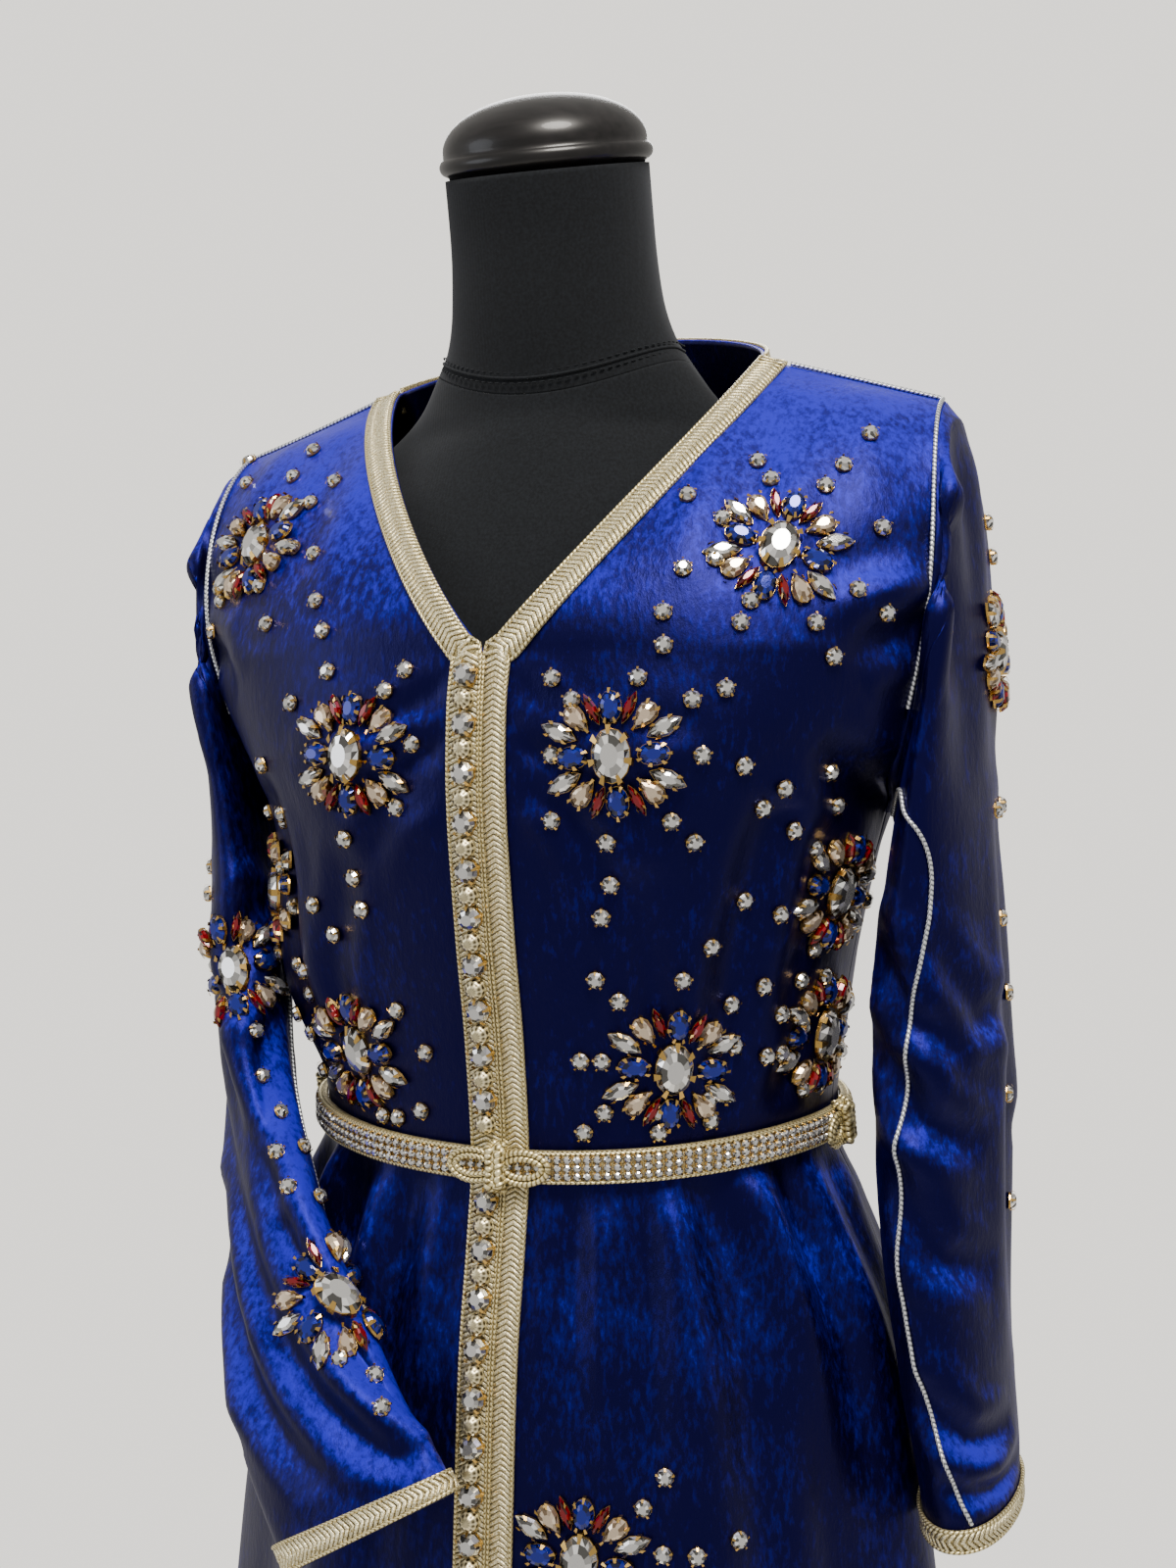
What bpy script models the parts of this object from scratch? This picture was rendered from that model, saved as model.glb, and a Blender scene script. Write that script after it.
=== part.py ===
"""A Moroccan velvet kaftan on a limbless dress form. Metres, +Z up, the wearer faces -Y and their left is +X.

The floor is z = 0 and the origin is the middle of the stand's base. The garment's body is one surface,
cloth(side, u, v): u runs from centre front (0) over the side seam (1) to centre back (2), and v from the hem
(0) to the chest line (1) and on to the shoulder seam (2). Panels, braids, cords and stones are cut from it.
"""
import math

import bpy
import bmesh
import numpy as np
from mathutils import Vector
from mathutils.bvhtree import BVHTree

# driving sizes
CLOTH = 0.0020            # thickness of the velvet
SEAM = 0.0003             # gap between two pieces
HEAD_OUT = 0.0036         # how far a sleeve head stands off the underarm, where the cloth turns back on itself
BRAID_WIDTH = 0.0150      # the metallic braid round the neck
OPENING_LEFT = 0.0130     # the braid down the left front
OPENING_RIGHT = 0.0170    # the braid down the right front, under the buttons
BRAID_THICK = 0.0013
PIPING_RADIUS = 0.0011
BELT_HEIGHT = 0.0155
BELT_THICK = 0.0042
BUTTON_PITCH = 0.0112
BUTTON_RADIUS = 0.0049
FLOWER_RADIUS = 0.034
FLOWER_HEIGHT = 0.0075
POLE_RADIUS = 0.0125
BASE_RADIUS = 0.165
BASE_THICK = 0.016

# named places on the garment
NECK_POINT = (0.100, -0.008, 1.418)       # where the shoulder seam meets the neck
SHOULDER_POINT = (0.193, 0.000, 1.392)    # where the shoulder seam meets the armhole
NAPE = (0.076, 1.449)                     # back of the neck: y, z
RIGHT_RIBS = 0.015                        # how much fuller the right side hangs at the ribs
RIGHT_DROP = 0.009                        # how much lower the right shoulder hangs than the left
BELT_FRONT_Z = 1.023
BELT_SIDE_Z = 1.034
BELT_BACK_Z = 1.040

# body sections from the hem to the chest: height at the centre and at the side, half width, depth to the
# front and to the back of the mid line, mid line's y, fullness of the corners, and the last angle of the
# front and back panels (90 is the side seam, less is the armhole)
BODY = [
    # z_mid  z_side  half_w  front   back    y_mid  corner  cut
    (0.045, 0.045, 0.258, 0.215, 0.218, 0.010, 0.00, 90.0),
    (0.250, 0.250, 0.238, 0.194, 0.200, 0.010, 0.00, 90.0),
    (0.470, 0.470, 0.217, 0.172, 0.182, 0.010, 0.01, 90.0),
    (0.680, 0.680, 0.198, 0.153, 0.168, 0.008, 0.02, 90.0),
    (0.840, 0.843, 0.181, 0.140, 0.156, 0.006, 0.03, 90.0),
    (0.930, 0.936, 0.167, 0.130, 0.138, 0.004, 0.03, 90.0),
    (0.985, 0.993, 0.147, 0.117, 0.114, 0.002, 0.03, 90.0),
    (1.025, 1.034, 0.134, 0.109, 0.100, 0.000, 0.03, 90.0),
    (1.080, 1.086, 0.140, 0.115, 0.106, 0.000, 0.03, 90.0),
    (1.135, 1.140, 0.150, 0.126, 0.113, 0.000, 0.03, 90.0),
    (1.190, 1.190, 0.163, 0.134, 0.117, 0.000, 0.03, 90.0),
    (1.211, 1.208, 0.174, 0.135, 0.118, 0.000, 0.03, 77.0),
    (1.237, 1.234, 0.189, 0.134, 0.118, 0.000, 0.03, 71.0),
    (1.269, 1.269, 0.202, 0.130, 0.117, 0.000, 0.03, 68.0),
]
UNDERARM_ROW = 10

# soft vertical folds of the skirt: side (+1 left, -1 right), place from centre front (0) by the side seam (1)
# to centre back (2), depth at the hem, width in the same units
SKIRT_FOLDS = [
    # side  place  depth   width
    (+1, 0.34, 0.012, 0.10),
    (+1, 0.62, -0.010, 0.10),
    (+1, 0.86, 0.014, 0.11),
    (+1, 1.18, -0.012, 0.12),
    (+1, 1.45, 0.014, 0.11),
    (+1, 1.74, -0.010, 0.12),
    (-1, 0.30, 0.011, 0.09),
    (-1, 0.56, -0.012, 0.11),
    (-1, 0.82, 0.013, 0.10),
    (-1, 1.12, -0.011, 0.12),
    (-1, 1.40, 0.015, 0.12),
    (-1, 1.70, -0.012, 0.11),
]

# sleeve sections from just past the armhole to the cuff. The section's thin axis joins an inner point near the
# body and an outer one; its long axis points to the front, turned in plan towards the body, and lifted in front.
# bend carries the front and back of a section outwards, round the shoulder.
LEFT_SLEEVE = [
    # in_x   in_z   out_x  out_z   y       front_half turn  lift  bend
    (0.1680, 1.1870, 0.1990, 1.3830, 0.000, 0.0530, 0.0, 0.0, 0.0120),
    (0.1710, 1.1820, 0.2050, 1.3550, 0.000, 0.0550, 2.0, 0.0, 0.0110),
    (0.1710, 1.1720, 0.2090, 1.3000, -0.002, 0.0550, 5.0, 0.0, 0.0080),
    (0.1700, 1.1500, 0.2120, 1.2200, -0.004, 0.0540, 8.0, 0.0, 0.0030),
    (0.1670, 1.1100, 0.2180, 1.1400, -0.006, 0.0520, 12.0, 0.0, 0.0),
    (0.1660, 1.0500, 0.2230, 1.0620, -0.008, 0.0490, 14.0, 0.0, 0.0),
    (0.1690, 0.9850, 0.2230, 0.9900, -0.010, 0.0480, 14.0, 0.0, 0.0),
    (0.1780, 0.9200, 0.2250, 0.9220, -0.014, 0.0460, 10.0, -3.0, 0.0),
    (0.1860, 0.8720, 0.2300, 0.8740, -0.018, 0.0430, 5.0, -8.0, 0.0),
    (0.1890, 0.8500, 0.2310, 0.8520, -0.020, 0.0420, 2.0, -12.0, 0.0),
]
RIGHT_SLEEVE = [
    # in_x   in_z   out_x  out_z   y       front_half turn  lift  bend
    (0.1680, 1.1870, 0.2000, 1.3740, 0.000, 0.0540, 0.0, 0.0, 0.0130),
    (0.1710, 1.1820, 0.2070, 1.3470, 0.000, 0.0570, 3.0, 0.0, 0.0120),
    (0.1710, 1.1720, 0.2110, 1.2950, -0.003, 0.0560, 7.0, 0.0, 0.0080),
    (0.1700, 1.1500, 0.2100, 1.2200, -0.010, 0.0540, 13.0, 0.0, 0.0020),
    (0.1640, 1.1080, 0.2030, 1.1340, -0.026, 0.0510, 20.0, 0.0, 0.0),
    (0.1480, 1.0500, 0.1840, 1.0600, -0.054, 0.0490, 28.0, 2.0, 0.0),
    (0.1210, 0.9950, 0.1560, 1.0010, -0.090, 0.0490, 44.0, 6.0, 0.0),
    (0.0960, 0.9460, 0.1300, 0.9520, -0.121, 0.0500, 62.0, 13.0, 0.0),
    (0.0700, 0.9070, 0.1030, 0.9130, -0.145, 0.0500, 78.0, 20.0, 0.0),
    (0.0430, 0.8750, 0.0750, 0.8810, -0.161, 0.0480, 90.0, 26.0, 0.0),
    (0.0280, 0.8570, 0.0590, 0.8630, -0.169, 0.0460, 96.0, 29.0, 0.0),
]

# the form: section heights in front, at the side and behind, half width, depths, mid line's y, corner fullness
TORSO = [
    # z_front z_side z_back half_w front back  y_mid  corner
    (0.800, 0.800, 0.800, 0.142, 0.105, 0.120, 0.006, 0.0),
    (0.812, 0.812, 0.812, 0.158, 0.120, 0.136, 0.006, 0.0),
    (0.870, 0.870, 0.870, 0.158, 0.120, 0.134, 0.005, 0.0),
    (0.940, 0.940, 0.940, 0.146, 0.112, 0.118, 0.004, 0.0),
    (1.030, 1.030, 1.030, 0.121, 0.096, 0.088, 0.000, 0.0),
    (1.100, 1.100, 1.100, 0.130, 0.104, 0.094, 0.000, 0.0),
    (1.190, 1.190, 1.190, 0.149, 0.121, 0.104, 0.000, 0.0),
    (1.262, 1.262, 1.266, 0.164, 0.116, 0.102, 0.000, 0.0),
    (1.310, 1.316, 1.318, 0.168, 0.102, 0.092, -0.001, -0.04),
    (1.342, 1.346, 1.346, 0.152, 0.089, 0.084, -0.003, -0.08),
    (1.362, 1.366, 1.366, 0.128, 0.079, 0.078, -0.006, -0.12),
    (1.378, 1.382, 1.388, 0.102, 0.069, 0.074, -0.010, -0.12),
    (1.388, 1.398, 1.412, 0.081, 0.059, 0.071, -0.016, -0.05),
    (1.397, 1.417, 1.436, 0.067, 0.051, 0.068, -0.023, 0.0),
]
NECK = [
    # z_front z_side z_back half_w front back  y_mid  corner
    (1.397, 1.417, 1.436, 0.067, 0.051, 0.068, -0.023, 0.0),
    (1.412, 1.430, 1.448, 0.0595, 0.050, 0.060, -0.027, 0.0),
    (1.434, 1.449, 1.464, 0.0545, 0.050, 0.055, -0.032, 0.0),
    (1.466, 1.480, 1.493, 0.0520, 0.050, 0.054, -0.038, 0.0),
    (1.499, 1.513, 1.527, 0.0515, 0.052, 0.052, -0.045, 0.0),
]
CAP_TILT = math.atan2(0.014, 0.052)      # the neck's flat top slopes down to the front
CAP_CENTRE = (0.0, -0.045, 1.513 + 2.2 * SEAM)

# gem flowers: name, carrier, side, place. On the body the place is u, v; on a sleeve it is the angle round the
# tube (0 outside, 90 front edge) and the fraction of the way down.
FLOWERS = [
    # name            carrier  side  place
    ("shoulder_left", "body", +1, (0.545, 1.300)),
    ("bust_left", "body", +1, (0.280, 0.875)),
    ("side_left", "body", +1, (0.800, 0.710)),
    ("rib_left", "body", +1, (0.835, 0.608)),
    ("waist_left", "body", +1, (0.385, 0.600)),
    ("skirt_left", "body", +1, (0.160, 0.310)),
    ("shoulder_right", "body", -1, (0.660, 1.390)),
    ("bust_right", "body", -1, (0.300, 0.875)),
    ("side_right", "body", -1, (0.690, 0.705)),
    ("waist_right", "body", -1, (0.375, 0.600)),
    ("arm_left", "sleeve", +1, (-32.0, 0.300)),
    ("arm_right", "sleeve", -1, (5.0, 0.300)),
    ("elbow_right", "sleeve", -1, (75.0, 0.460)),
    ("forearm_right", "sleeve", -1, (82.0, 0.715)),
]

KINDS = {
    # name       colour (linear)         roughness metallic
    "velvet": ((0.010, 0.012, 0.300), 0.80, 0.0),
    "braid": ((0.600, 0.520, 0.300), 0.45, 0.6),
    "silver": ((0.600, 0.600, 0.600), 0.40, 0.8),
    "crystal": ((0.800, 0.800, 0.780), 0.05, 0.0),
    "gem": ((0.300, 0.250, 0.300), 0.10, 0.0),
    "jersey": ((0.012, 0.013, 0.015), 0.90, 0.0),
    "wood": ((0.020, 0.012, 0.010), 0.20, 0.0),
    "steel": ((0.080, 0.080, 0.085), 0.40, 0.9),
}


# ---- the cloth as a surface --------------------------------------------------------------------------------

def table_at(rows, place):
    """A table's columns at a place from 0 (first row) to 1 (last), on smooth curves that never overshoot."""
    data = np.array(rows, float)
    spot = np.clip(np.asarray(place, float), 0.0, 1.0) * (len(data) - 1)
    low = np.minimum(spot.astype(int), len(data) - 2)
    part = (spot - low)[..., None]
    step = np.diff(data, axis=0)
    slope = np.zeros_like(data)
    same = step[:-1] * step[1:] > 0
    slope[1:-1][same] = (2 * step[:-1] * step[1:] / np.where(same, step[:-1] + step[1:], 1.0))[same]
    slope[0], slope[-1] = step[0], step[-1]
    square, cube = part ** 2, part ** 3
    return (data[low] * (1 - 3 * square + 2 * cube) + slope[low] * (part - 2 * square + cube)
            + data[low + 1] * (3 * square - 2 * cube) + slope[low + 1] * (cube - square))


def smooth(value):
    value = np.clip(value, 0.0, 1.0)
    return value * value * (3 - 2 * value)


def hermite(start, start_way, end, end_way, part):
    square, cube = part ** 2, part ** 3
    return (start * (1 - 3 * square + 2 * cube) + start_way * (part - 2 * square + cube)
            + end * (3 * square - 2 * cube) + end_way * (cube - square))


def stack(x, y, z):
    return np.stack(np.broadcast_arrays(x, y, z), -1)


def ring_point(u, v):
    """The body below the chest, on the left half: u from 0 centre front to 2 centre back."""
    z_mid, z_side, half, front, back, y_mid, corner, cut = np.moveaxis(table_at(BODY, v), -1, 0)
    to_back = u > 1
    turn = np.radians(np.where(to_back, 2 - u, u) * cut)
    full = 1 + corner * np.sin(2 * turn) ** 2
    across = np.sin(turn) * full
    depth = np.where(to_back, back, -front) * np.cos(turn) * full
    z = z_mid + (z_side - z_mid) * np.clip(across, 0, 1) ** 2
    bust = 0.007 * np.exp(-((half * across - 0.085) / 0.050) ** 2 - ((z - 1.212) / 0.045) ** 2)
    return stack(half * across, y_mid + depth - np.where(to_back, 0, bust), z)


def yoke_point(u, w):
    """The body from the chest line (w = 0) to the shoulder seam and the neck (w = 1), on the left half."""
    neck, shoulder = np.array(NECK_POINT), np.array(SHOULDER_POINT)
    to_back = (u > 1)[..., None]
    near = np.where(u > 1, 2 - u, u)[..., None]
    start = ring_point(u, np.ones_like(u))
    front_end = neck + (shoulder - neck) * near
    arc = np.radians(90 * np.clip(near / 0.5, 0, 1))
    back_neck = np.concatenate([neck[0] * np.sin(arc), neck[1] + (NAPE[0] - neck[1]) * np.cos(arc),
                                neck[2] + (NAPE[1] - neck[2]) * np.cos(arc)], -1)
    back_end = np.where(near < 0.5, back_neck, neck + (shoulder - neck) * (2 * near - 1))
    end = np.where(to_back, back_end, front_end)
    edge = smooth(near / 0.55)
    arm = smooth((near - 0.6) / 0.4)
    front_start_way = (1 - edge) * np.array([0.110, 0.000, 0.110]) + edge * np.array([0.000, 0.030, 0.135])
    front_end_way = (1 - edge) * np.array([0.015, 0.135, 0.085]) + edge * np.array([0.000, 0.120, 0.035])
    front_start_way = front_start_way + arm * np.array([0.030, -0.050, -0.005])
    back_start_way = np.array([0.000, 0.000, 0.160]) + arm * np.array([0.030, 0.020, -0.020])
    rise = smooth((near - 0.25) / 0.35)
    back_end_way = (1 - rise) * np.array([0.000, -0.050, 0.110]) + rise * np.array([0.000, -0.120, 0.035])
    start_way = np.where(to_back, back_start_way, front_start_way)
    end_way = np.where(to_back, back_end_way, front_end_way)
    return hermite(start, start_way, end, end_way, w[..., None])


def fold_out(side, u, v):
    """How far the skirt's folds push the cloth out."""
    fade = smooth((0.52 - v) / 0.52) * 0.75 + smooth((0.56 - v) / 0.1) * 0.25
    total = np.zeros_like(u)
    for fold_side, place, depth, width in SKIRT_FOLDS:
        if fold_side == side:
            total = total + depth * np.exp(-((u - place) / width) ** 2)
    return total * fade


def cloth(side, u, v):
    """A point of the garment's body. side is +1 for the wearer's left half and -1 for the right half."""
    u, v = np.broadcast_arrays(np.asarray(u, float), np.asarray(v, float))
    low = ring_point(u, np.minimum(v, 1.0))
    if side < 0:
        fuller = RIGHT_RIBS * np.exp(-((low[..., 2] - 1.110) / 0.045) ** 2)
        low = low + stack(fuller * smooth(low[..., 0] / 0.120), 0, 0)
    high = yoke_point(u, np.clip(v - 1.0, 0.0, 1.0))
    if side < 0:
        sink = RIGHT_DROP * smooth(v - 1.0) * smooth(high[..., 0] / SHOULDER_POINT[0])
        high = high - stack(0, 0, sink)
    point = np.where((v > 1.0)[..., None], high, low)
    away = point * np.array([1.0, 1.0, 0.0])
    away = away / np.maximum(np.linalg.norm(away, axis=-1, keepdims=True), 1e-9)
    point = point + away * fold_out(side, u, v)[..., None]
    return point * np.array([side, 1.0, 1.0])


def cloth_normal(side, u, v):
    """The outward direction of the body, straight up out of the shoulder seam."""
    u, v = np.broadcast_arrays(np.asarray(u, float), np.asarray(v, float))
    small = 0.004
    floor_u = np.where(u > 1, 1.0, 0.0)
    left, right = np.maximum(u - small, floor_u), np.minimum(u + small, floor_u + 1)
    along_u = cloth(side, right, v) - cloth(side, left, v)
    top = np.clip(v + small, 0.0, 1.995)
    along_v = cloth(side, u, top) - cloth(side, u, top - 2 * small)
    normal = np.cross(along_u, along_v) * side
    normal = normal / np.maximum(np.linalg.norm(normal, axis=-1, keepdims=True), 1e-12)
    slope = np.array(SHOULDER_POINT) - np.array(NECK_POINT)
    seam_up = np.array([-slope[2] * side, 0.0, slope[0]]) / math.hypot(slope[0], slope[2])
    back_neck = (u > 1) & (2 - u < 0.5)
    blend = (smooth((v - 1.93) / 0.07) * np.where(back_neck, 0.0, 1.0))[..., None]
    normal = normal * (1 - blend) + seam_up * blend
    return normal / np.linalg.norm(normal, axis=-1, keepdims=True)


UNDERARM_V = UNDERARM_ROW / (len(BODY) - 1)


def armhole(side, turn):
    """Point and outward direction on the armhole's edge: turn is 0 at the shoulder, 90 in front, 180 below."""
    turn = np.mod(np.asarray(turn, float), 360.0)
    part = np.where(turn > 180, 360 - turn, turn) / 180
    level = 2 - part * (2 - UNDERARM_V)
    u = np.where(turn > 180, 1.0 + 1e-9, 1.0)
    return cloth(side, u, level), cloth_normal(side, u, level)


def sleeve(side, turn, down):
    """A point of a sleeve: turn round the tube in degrees, down from the armhole (0) to the cuff (1)."""
    turn, down = np.broadcast_arrays(np.asarray(turn, float), np.asarray(down, float))
    rows = LEFT_SLEEVE if side > 0 else RIGHT_SLEEVE
    first = 0.06
    in_x, in_z, out_x, out_z, y, front, plan, lift, bend = np.moveaxis(
        table_at(rows, (down - first) / (1 - first)), -1, 0)
    centre = stack((in_x + out_x) / 2, y, (in_z + out_z) / 2)
    plan, lift = np.radians(plan), np.radians(lift)
    half = (out_x - in_x) / 2
    thin = stack(half * np.cos(plan), -half * np.sin(plan), (out_z - in_z) / 2)
    long = stack(-front * np.sin(plan) * np.cos(lift), -front * np.cos(plan) * np.cos(lift),
                 front * np.sin(lift))
    angle = np.radians(turn)[..., None]
    tube = centre + thin * np.cos(angle) + long * np.sin(angle)
    tube = (tube + stack(bend, 0, 0) * np.sin(angle) ** 2) * np.array([side, 1.0, 1.0])
    head, _ = armhole(side, turn)
    blend = smooth(down / first)[..., None]
    return head * (1 - blend) + tube * blend


def sleeve_normal(side, turn, down):
    turn, down = np.broadcast_arrays(np.asarray(turn, float), np.asarray(down, float))
    around = sleeve(side, turn + 1.5, down) - sleeve(side, turn - 1.5, down)
    along = sleeve(side, turn, np.minimum(down + 0.004, 1.0)) - sleeve(side, turn, np.maximum(down - 0.004, 0.0))
    normal = np.cross(around, along) * side
    normal = normal / np.maximum(np.linalg.norm(normal, axis=-1, keepdims=True), 1e-12)
    _, head = armhole(side, turn)
    blend = smooth(down / 0.05)[..., None]
    normal = head * (1 - blend) + normal * blend
    return normal / np.linalg.norm(normal, axis=-1, keepdims=True)


def on_facets(surface, side, first, second, firsts, seconds):
    """Points between a surface's own grid lines, on its flat facets."""
    first, second = np.broadcast_arrays(np.asarray(first, float), np.asarray(second, float))
    low_a = np.clip(np.searchsorted(firsts, first, "right") - 1, 0, len(firsts) - 2)
    low_b = np.clip(np.searchsorted(seconds, second, "right") - 1, 0, len(seconds) - 2)
    part_a = ((first - firsts[low_a]) / (firsts[low_a + 1] - firsts[low_a]))[..., None]
    part_b = ((second - seconds[low_b]) / (seconds[low_b + 1] - seconds[low_b]))[..., None]
    total = 0
    for step_a, share_a in ((0, 1 - part_a), (1, part_a)):
        for step_b, share_b in ((0, 1 - part_b), (1, part_b)):
            total = total + surface(side, firsts[low_a + step_a], seconds[low_b + step_b]) * share_a * share_b
    return total


# ---- making solids -----------------------------------------------------------------------------------------

def clear_scene():
    for thing in list(bpy.data.objects):
        bpy.data.objects.remove(thing, do_unlink=True)


def material(kind):
    found = bpy.data.materials.get(kind)
    if found:
        return found
    colour, roughness, metallic = KINDS[kind]
    made = bpy.data.materials.new(kind)
    made.use_nodes = True
    shader = made.node_tree.nodes["Principled BSDF"]
    shader.inputs["Base Color"].default_value = (*colour, 1.0)
    shader.inputs["Roughness"].default_value = roughness
    shader.inputs["Metallic"].default_value = metallic
    return made


def add_object(name, data, kind):
    thing = bpy.data.objects.new(name, data)
    data.materials.append(material(kind))
    PARTS.objects.link(thing)
    return thing


def mesh_object(name, points, faces, kind):
    """A closed mesh with its faces turned out."""
    mesh = bpy.data.meshes.new(name)
    mesh.from_pydata([tuple(map(float, point)) for point in points], [], faces)
    shape = bmesh.new()
    shape.from_mesh(mesh)
    bmesh.ops.recalc_face_normals(shape, faces=shape.faces)
    bmesh.ops.triangulate(shape, faces=shape.faces)
    shape.to_mesh(mesh)
    shape.free()
    mesh.shade_smooth()
    return add_object(name, mesh, kind)


def wall(name, points, normals, inner, outer, kind, closed=False):
    """A solid wall over a grid of surface points, from one distance off the surface to another."""
    rows, columns = points.shape[:2]
    skins = np.concatenate([(points + normals * outer).reshape(-1, 3), (points + normals * inner).reshape(-1, 3)])
    count = rows * columns
    faces = []
    span = columns if closed else columns - 1
    for row in range(rows - 1):
        for column in range(span):
            nextc = (column + 1) % columns
            corner = [row * columns + column, row * columns + nextc,
                      (row + 1) * columns + nextc, (row + 1) * columns + column]
            for half in (corner[:3], [corner[0], corner[2], corner[3]]):
                faces.append(half)
                faces.append([index + count for index in reversed(half)])
    for column in range(span):
        nextc = (column + 1) % columns
        for row in (0, rows - 1):
            pair = (row * columns + column, row * columns + nextc)
            faces.append([pair[1], pair[0], pair[0] + count, pair[1] + count])
    if not closed:
        for row in range(rows - 1):
            for column in (0, columns - 1):
                pair = (row * columns + column, (row + 1) * columns + column)
                faces.append([pair[0], pair[1], pair[1] + count, pair[0] + count])
    return mesh_object(name, skins, faces, kind)


def inset(points, rows=(True, True), columns=(True, True), amount=SEAM / 2):
    """Draw the chosen edges of a grid in by half a seam gap."""
    moved = points.copy()
    edges = ((rows[0], (0,), (1,)), (rows[1], (-1,), (-2,)),
             (columns[0], (slice(None), 0), (slice(None), 1)), (columns[1], (slice(None), -1), (slice(None), -2)))
    for wanted, edge, inside in edges:
        if wanted:
            way = points[inside] - points[edge]
            moved[edge] += amount * way / np.linalg.norm(way, axis=-1, keepdims=True)
    return moved


def cord(name, points, radius, kind, cyclic=False, sides=1):
    """A round cord along points."""
    curve = bpy.data.curves.new(name, "CURVE")
    curve.dimensions = "3D"
    curve.bevel_depth = radius
    curve.bevel_resolution = sides
    curve.use_fill_caps = not cyclic
    spline = curve.splines.new("POLY")
    spline.points.add(len(points) - 1)
    for spot, point in zip(spline.points, points):
        spot.co = (*map(float, point), 1.0)
    spline.use_cyclic_u = cyclic
    return add_object(name, curve, kind)


def loft(name, rings, kind):
    """A solid through closed rings, with flat ends."""
    columns = len(rings[0])
    faces = [list(range(columns)), list(range((len(rings) - 1) * columns, len(rings) * columns))]
    for row in range(len(rings) - 1):
        for column in range(columns):
            nextc = (column + 1) % columns
            faces.append([row * columns + column, row * columns + nextc,
                          (row + 1) * columns + nextc, (row + 1) * columns + column])
    return mesh_object(name, np.concatenate(rings), faces, kind)


# ---- the kaftan --------------------------------------------------------------------------------------------

YOKE_ROWS = (1.0, 1.17, 1.34, 1.50, 1.66, 1.79, 1.90, 2.0)
ARM_STEPS = UNDERARM_V + (1 - UNDERARM_V) * np.array([0, 1 / 3, 2 / 3])
LEVELS = np.concatenate([np.linspace(0, UNDERARM_V, 19)[:-1], ARM_STEPS, YOKE_ROWS])
FRONT_COLUMNS = np.linspace(0, 1, 12)
BACK_COLUMNS = np.linspace(1, 2, 11)
ARM_LEVELS = LEVELS[LEVELS > UNDERARM_V - 1e-6]
ARM_TURNS = np.concatenate([(2 - ARM_LEVELS[::-1]) / (2 - UNDERARM_V) * 180,
                            360 - ((2 - ARM_LEVELS) / (2 - UNDERARM_V) * 180)[1:-1]])


def front_panel(side):
    u, v = np.meshgrid(FRONT_COLUMNS, LEVELS)
    points = inset(cloth(side, u, v), rows=(False, True))
    name = "front_left" if side > 0 else "front_right"
    return wall(name, points, cloth_normal(side, u, v), -CLOTH / 2, CLOTH / 2, "velvet")


def back_panel():
    u, v = np.meshgrid(np.maximum(BACK_COLUMNS, 1 + 1e-9), LEVELS)
    left, right = cloth(1, u, v), cloth(-1, u[:, ::-1], v)
    left_n, right_n = cloth_normal(1, u, v), cloth_normal(-1, u[:, ::-1], v)
    points = inset(np.concatenate([left, right[:, 1:]], 1), rows=(False, False))
    normals = np.concatenate([left_n, right_n[:, 1:]], 1)
    seam = np.concatenate([2 - u[-1], (2 - u[-1, ::-1])[1:]]) >= 0.5 - 1e-6
    way = points[-2] - points[-1]
    way = way / np.linalg.norm(way, axis=-1, keepdims=True)
    points[-1, seam] += way[seam] * SEAM / 2
    normals = normals / np.linalg.norm(normals, axis=-1, keepdims=True)
    return wall("back", points, normals, -CLOTH / 2, CLOTH / 2, "velvet")


SLEEVE_ROWS = np.concatenate([[0.0, 0.03], np.linspace(0.07, 1.0, 20)])


def sleeve_tube(side):
    turn, down = np.meshgrid(ARM_TURNS, SLEEVE_ROWS)
    points = sleeve(side, turn, down)
    below = smooth((150 - np.abs(turn - 180)) / 70)
    points[..., 0] += side * (SEAM + (HEAD_OUT - SEAM) * below) * np.clip(1.2 - down / 0.08, 0, 1)
    name = "sleeve_left" if side > 0 else "sleeve_right"
    return wall(name, points, sleeve_normal(side, turn, down), -CLOTH / 2, CLOTH / 2, "velvet", closed=True)


def across(side, v, distance):
    """The u at which the surface lies this far from the opening's edge, square to that edge."""
    start = cloth(side, np.zeros_like(v), v)
    along_u = cloth(side, np.full_like(v, 0.02), v) - start
    step = np.gradient(start, axis=0)
    step = step / np.linalg.norm(step, axis=-1, keepdims=True)
    square = np.linalg.norm(np.cross(along_u, step), axis=-1) / 0.02
    return distance / square


BRAID_IN = CLOTH / 2 + SEAM
BRAID_OUT = BRAID_IN + BRAID_THICK


def front_braid(side):
    """One length of braid, from the hem up the opening and round the neck to the shoulder seam."""
    v = LEVELS
    down_width = OPENING_LEFT if side > 0 else OPENING_RIGHT
    width = down_width + (BRAID_WIDTH - down_width) * smooth((v - 0.94) / 0.1)
    full = across(side, v, width)
    u = np.stack([full * 0, full * 0.5, full], 1)
    level = np.repeat(v[:, None], 3, 1)
    points = on_facets(cloth, side, u, level, FRONT_COLUMNS, LEVELS)
    normals = on_facets(cloth_normal, side, u, level, FRONT_COLUMNS, LEVELS)
    points = inset(points, rows=(False, True), columns=(True, False))
    name = "braid_front_left" if side > 0 else "braid_front_right"
    wall(name, points, normals, BRAID_IN, BRAID_OUT, "braid")


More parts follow.
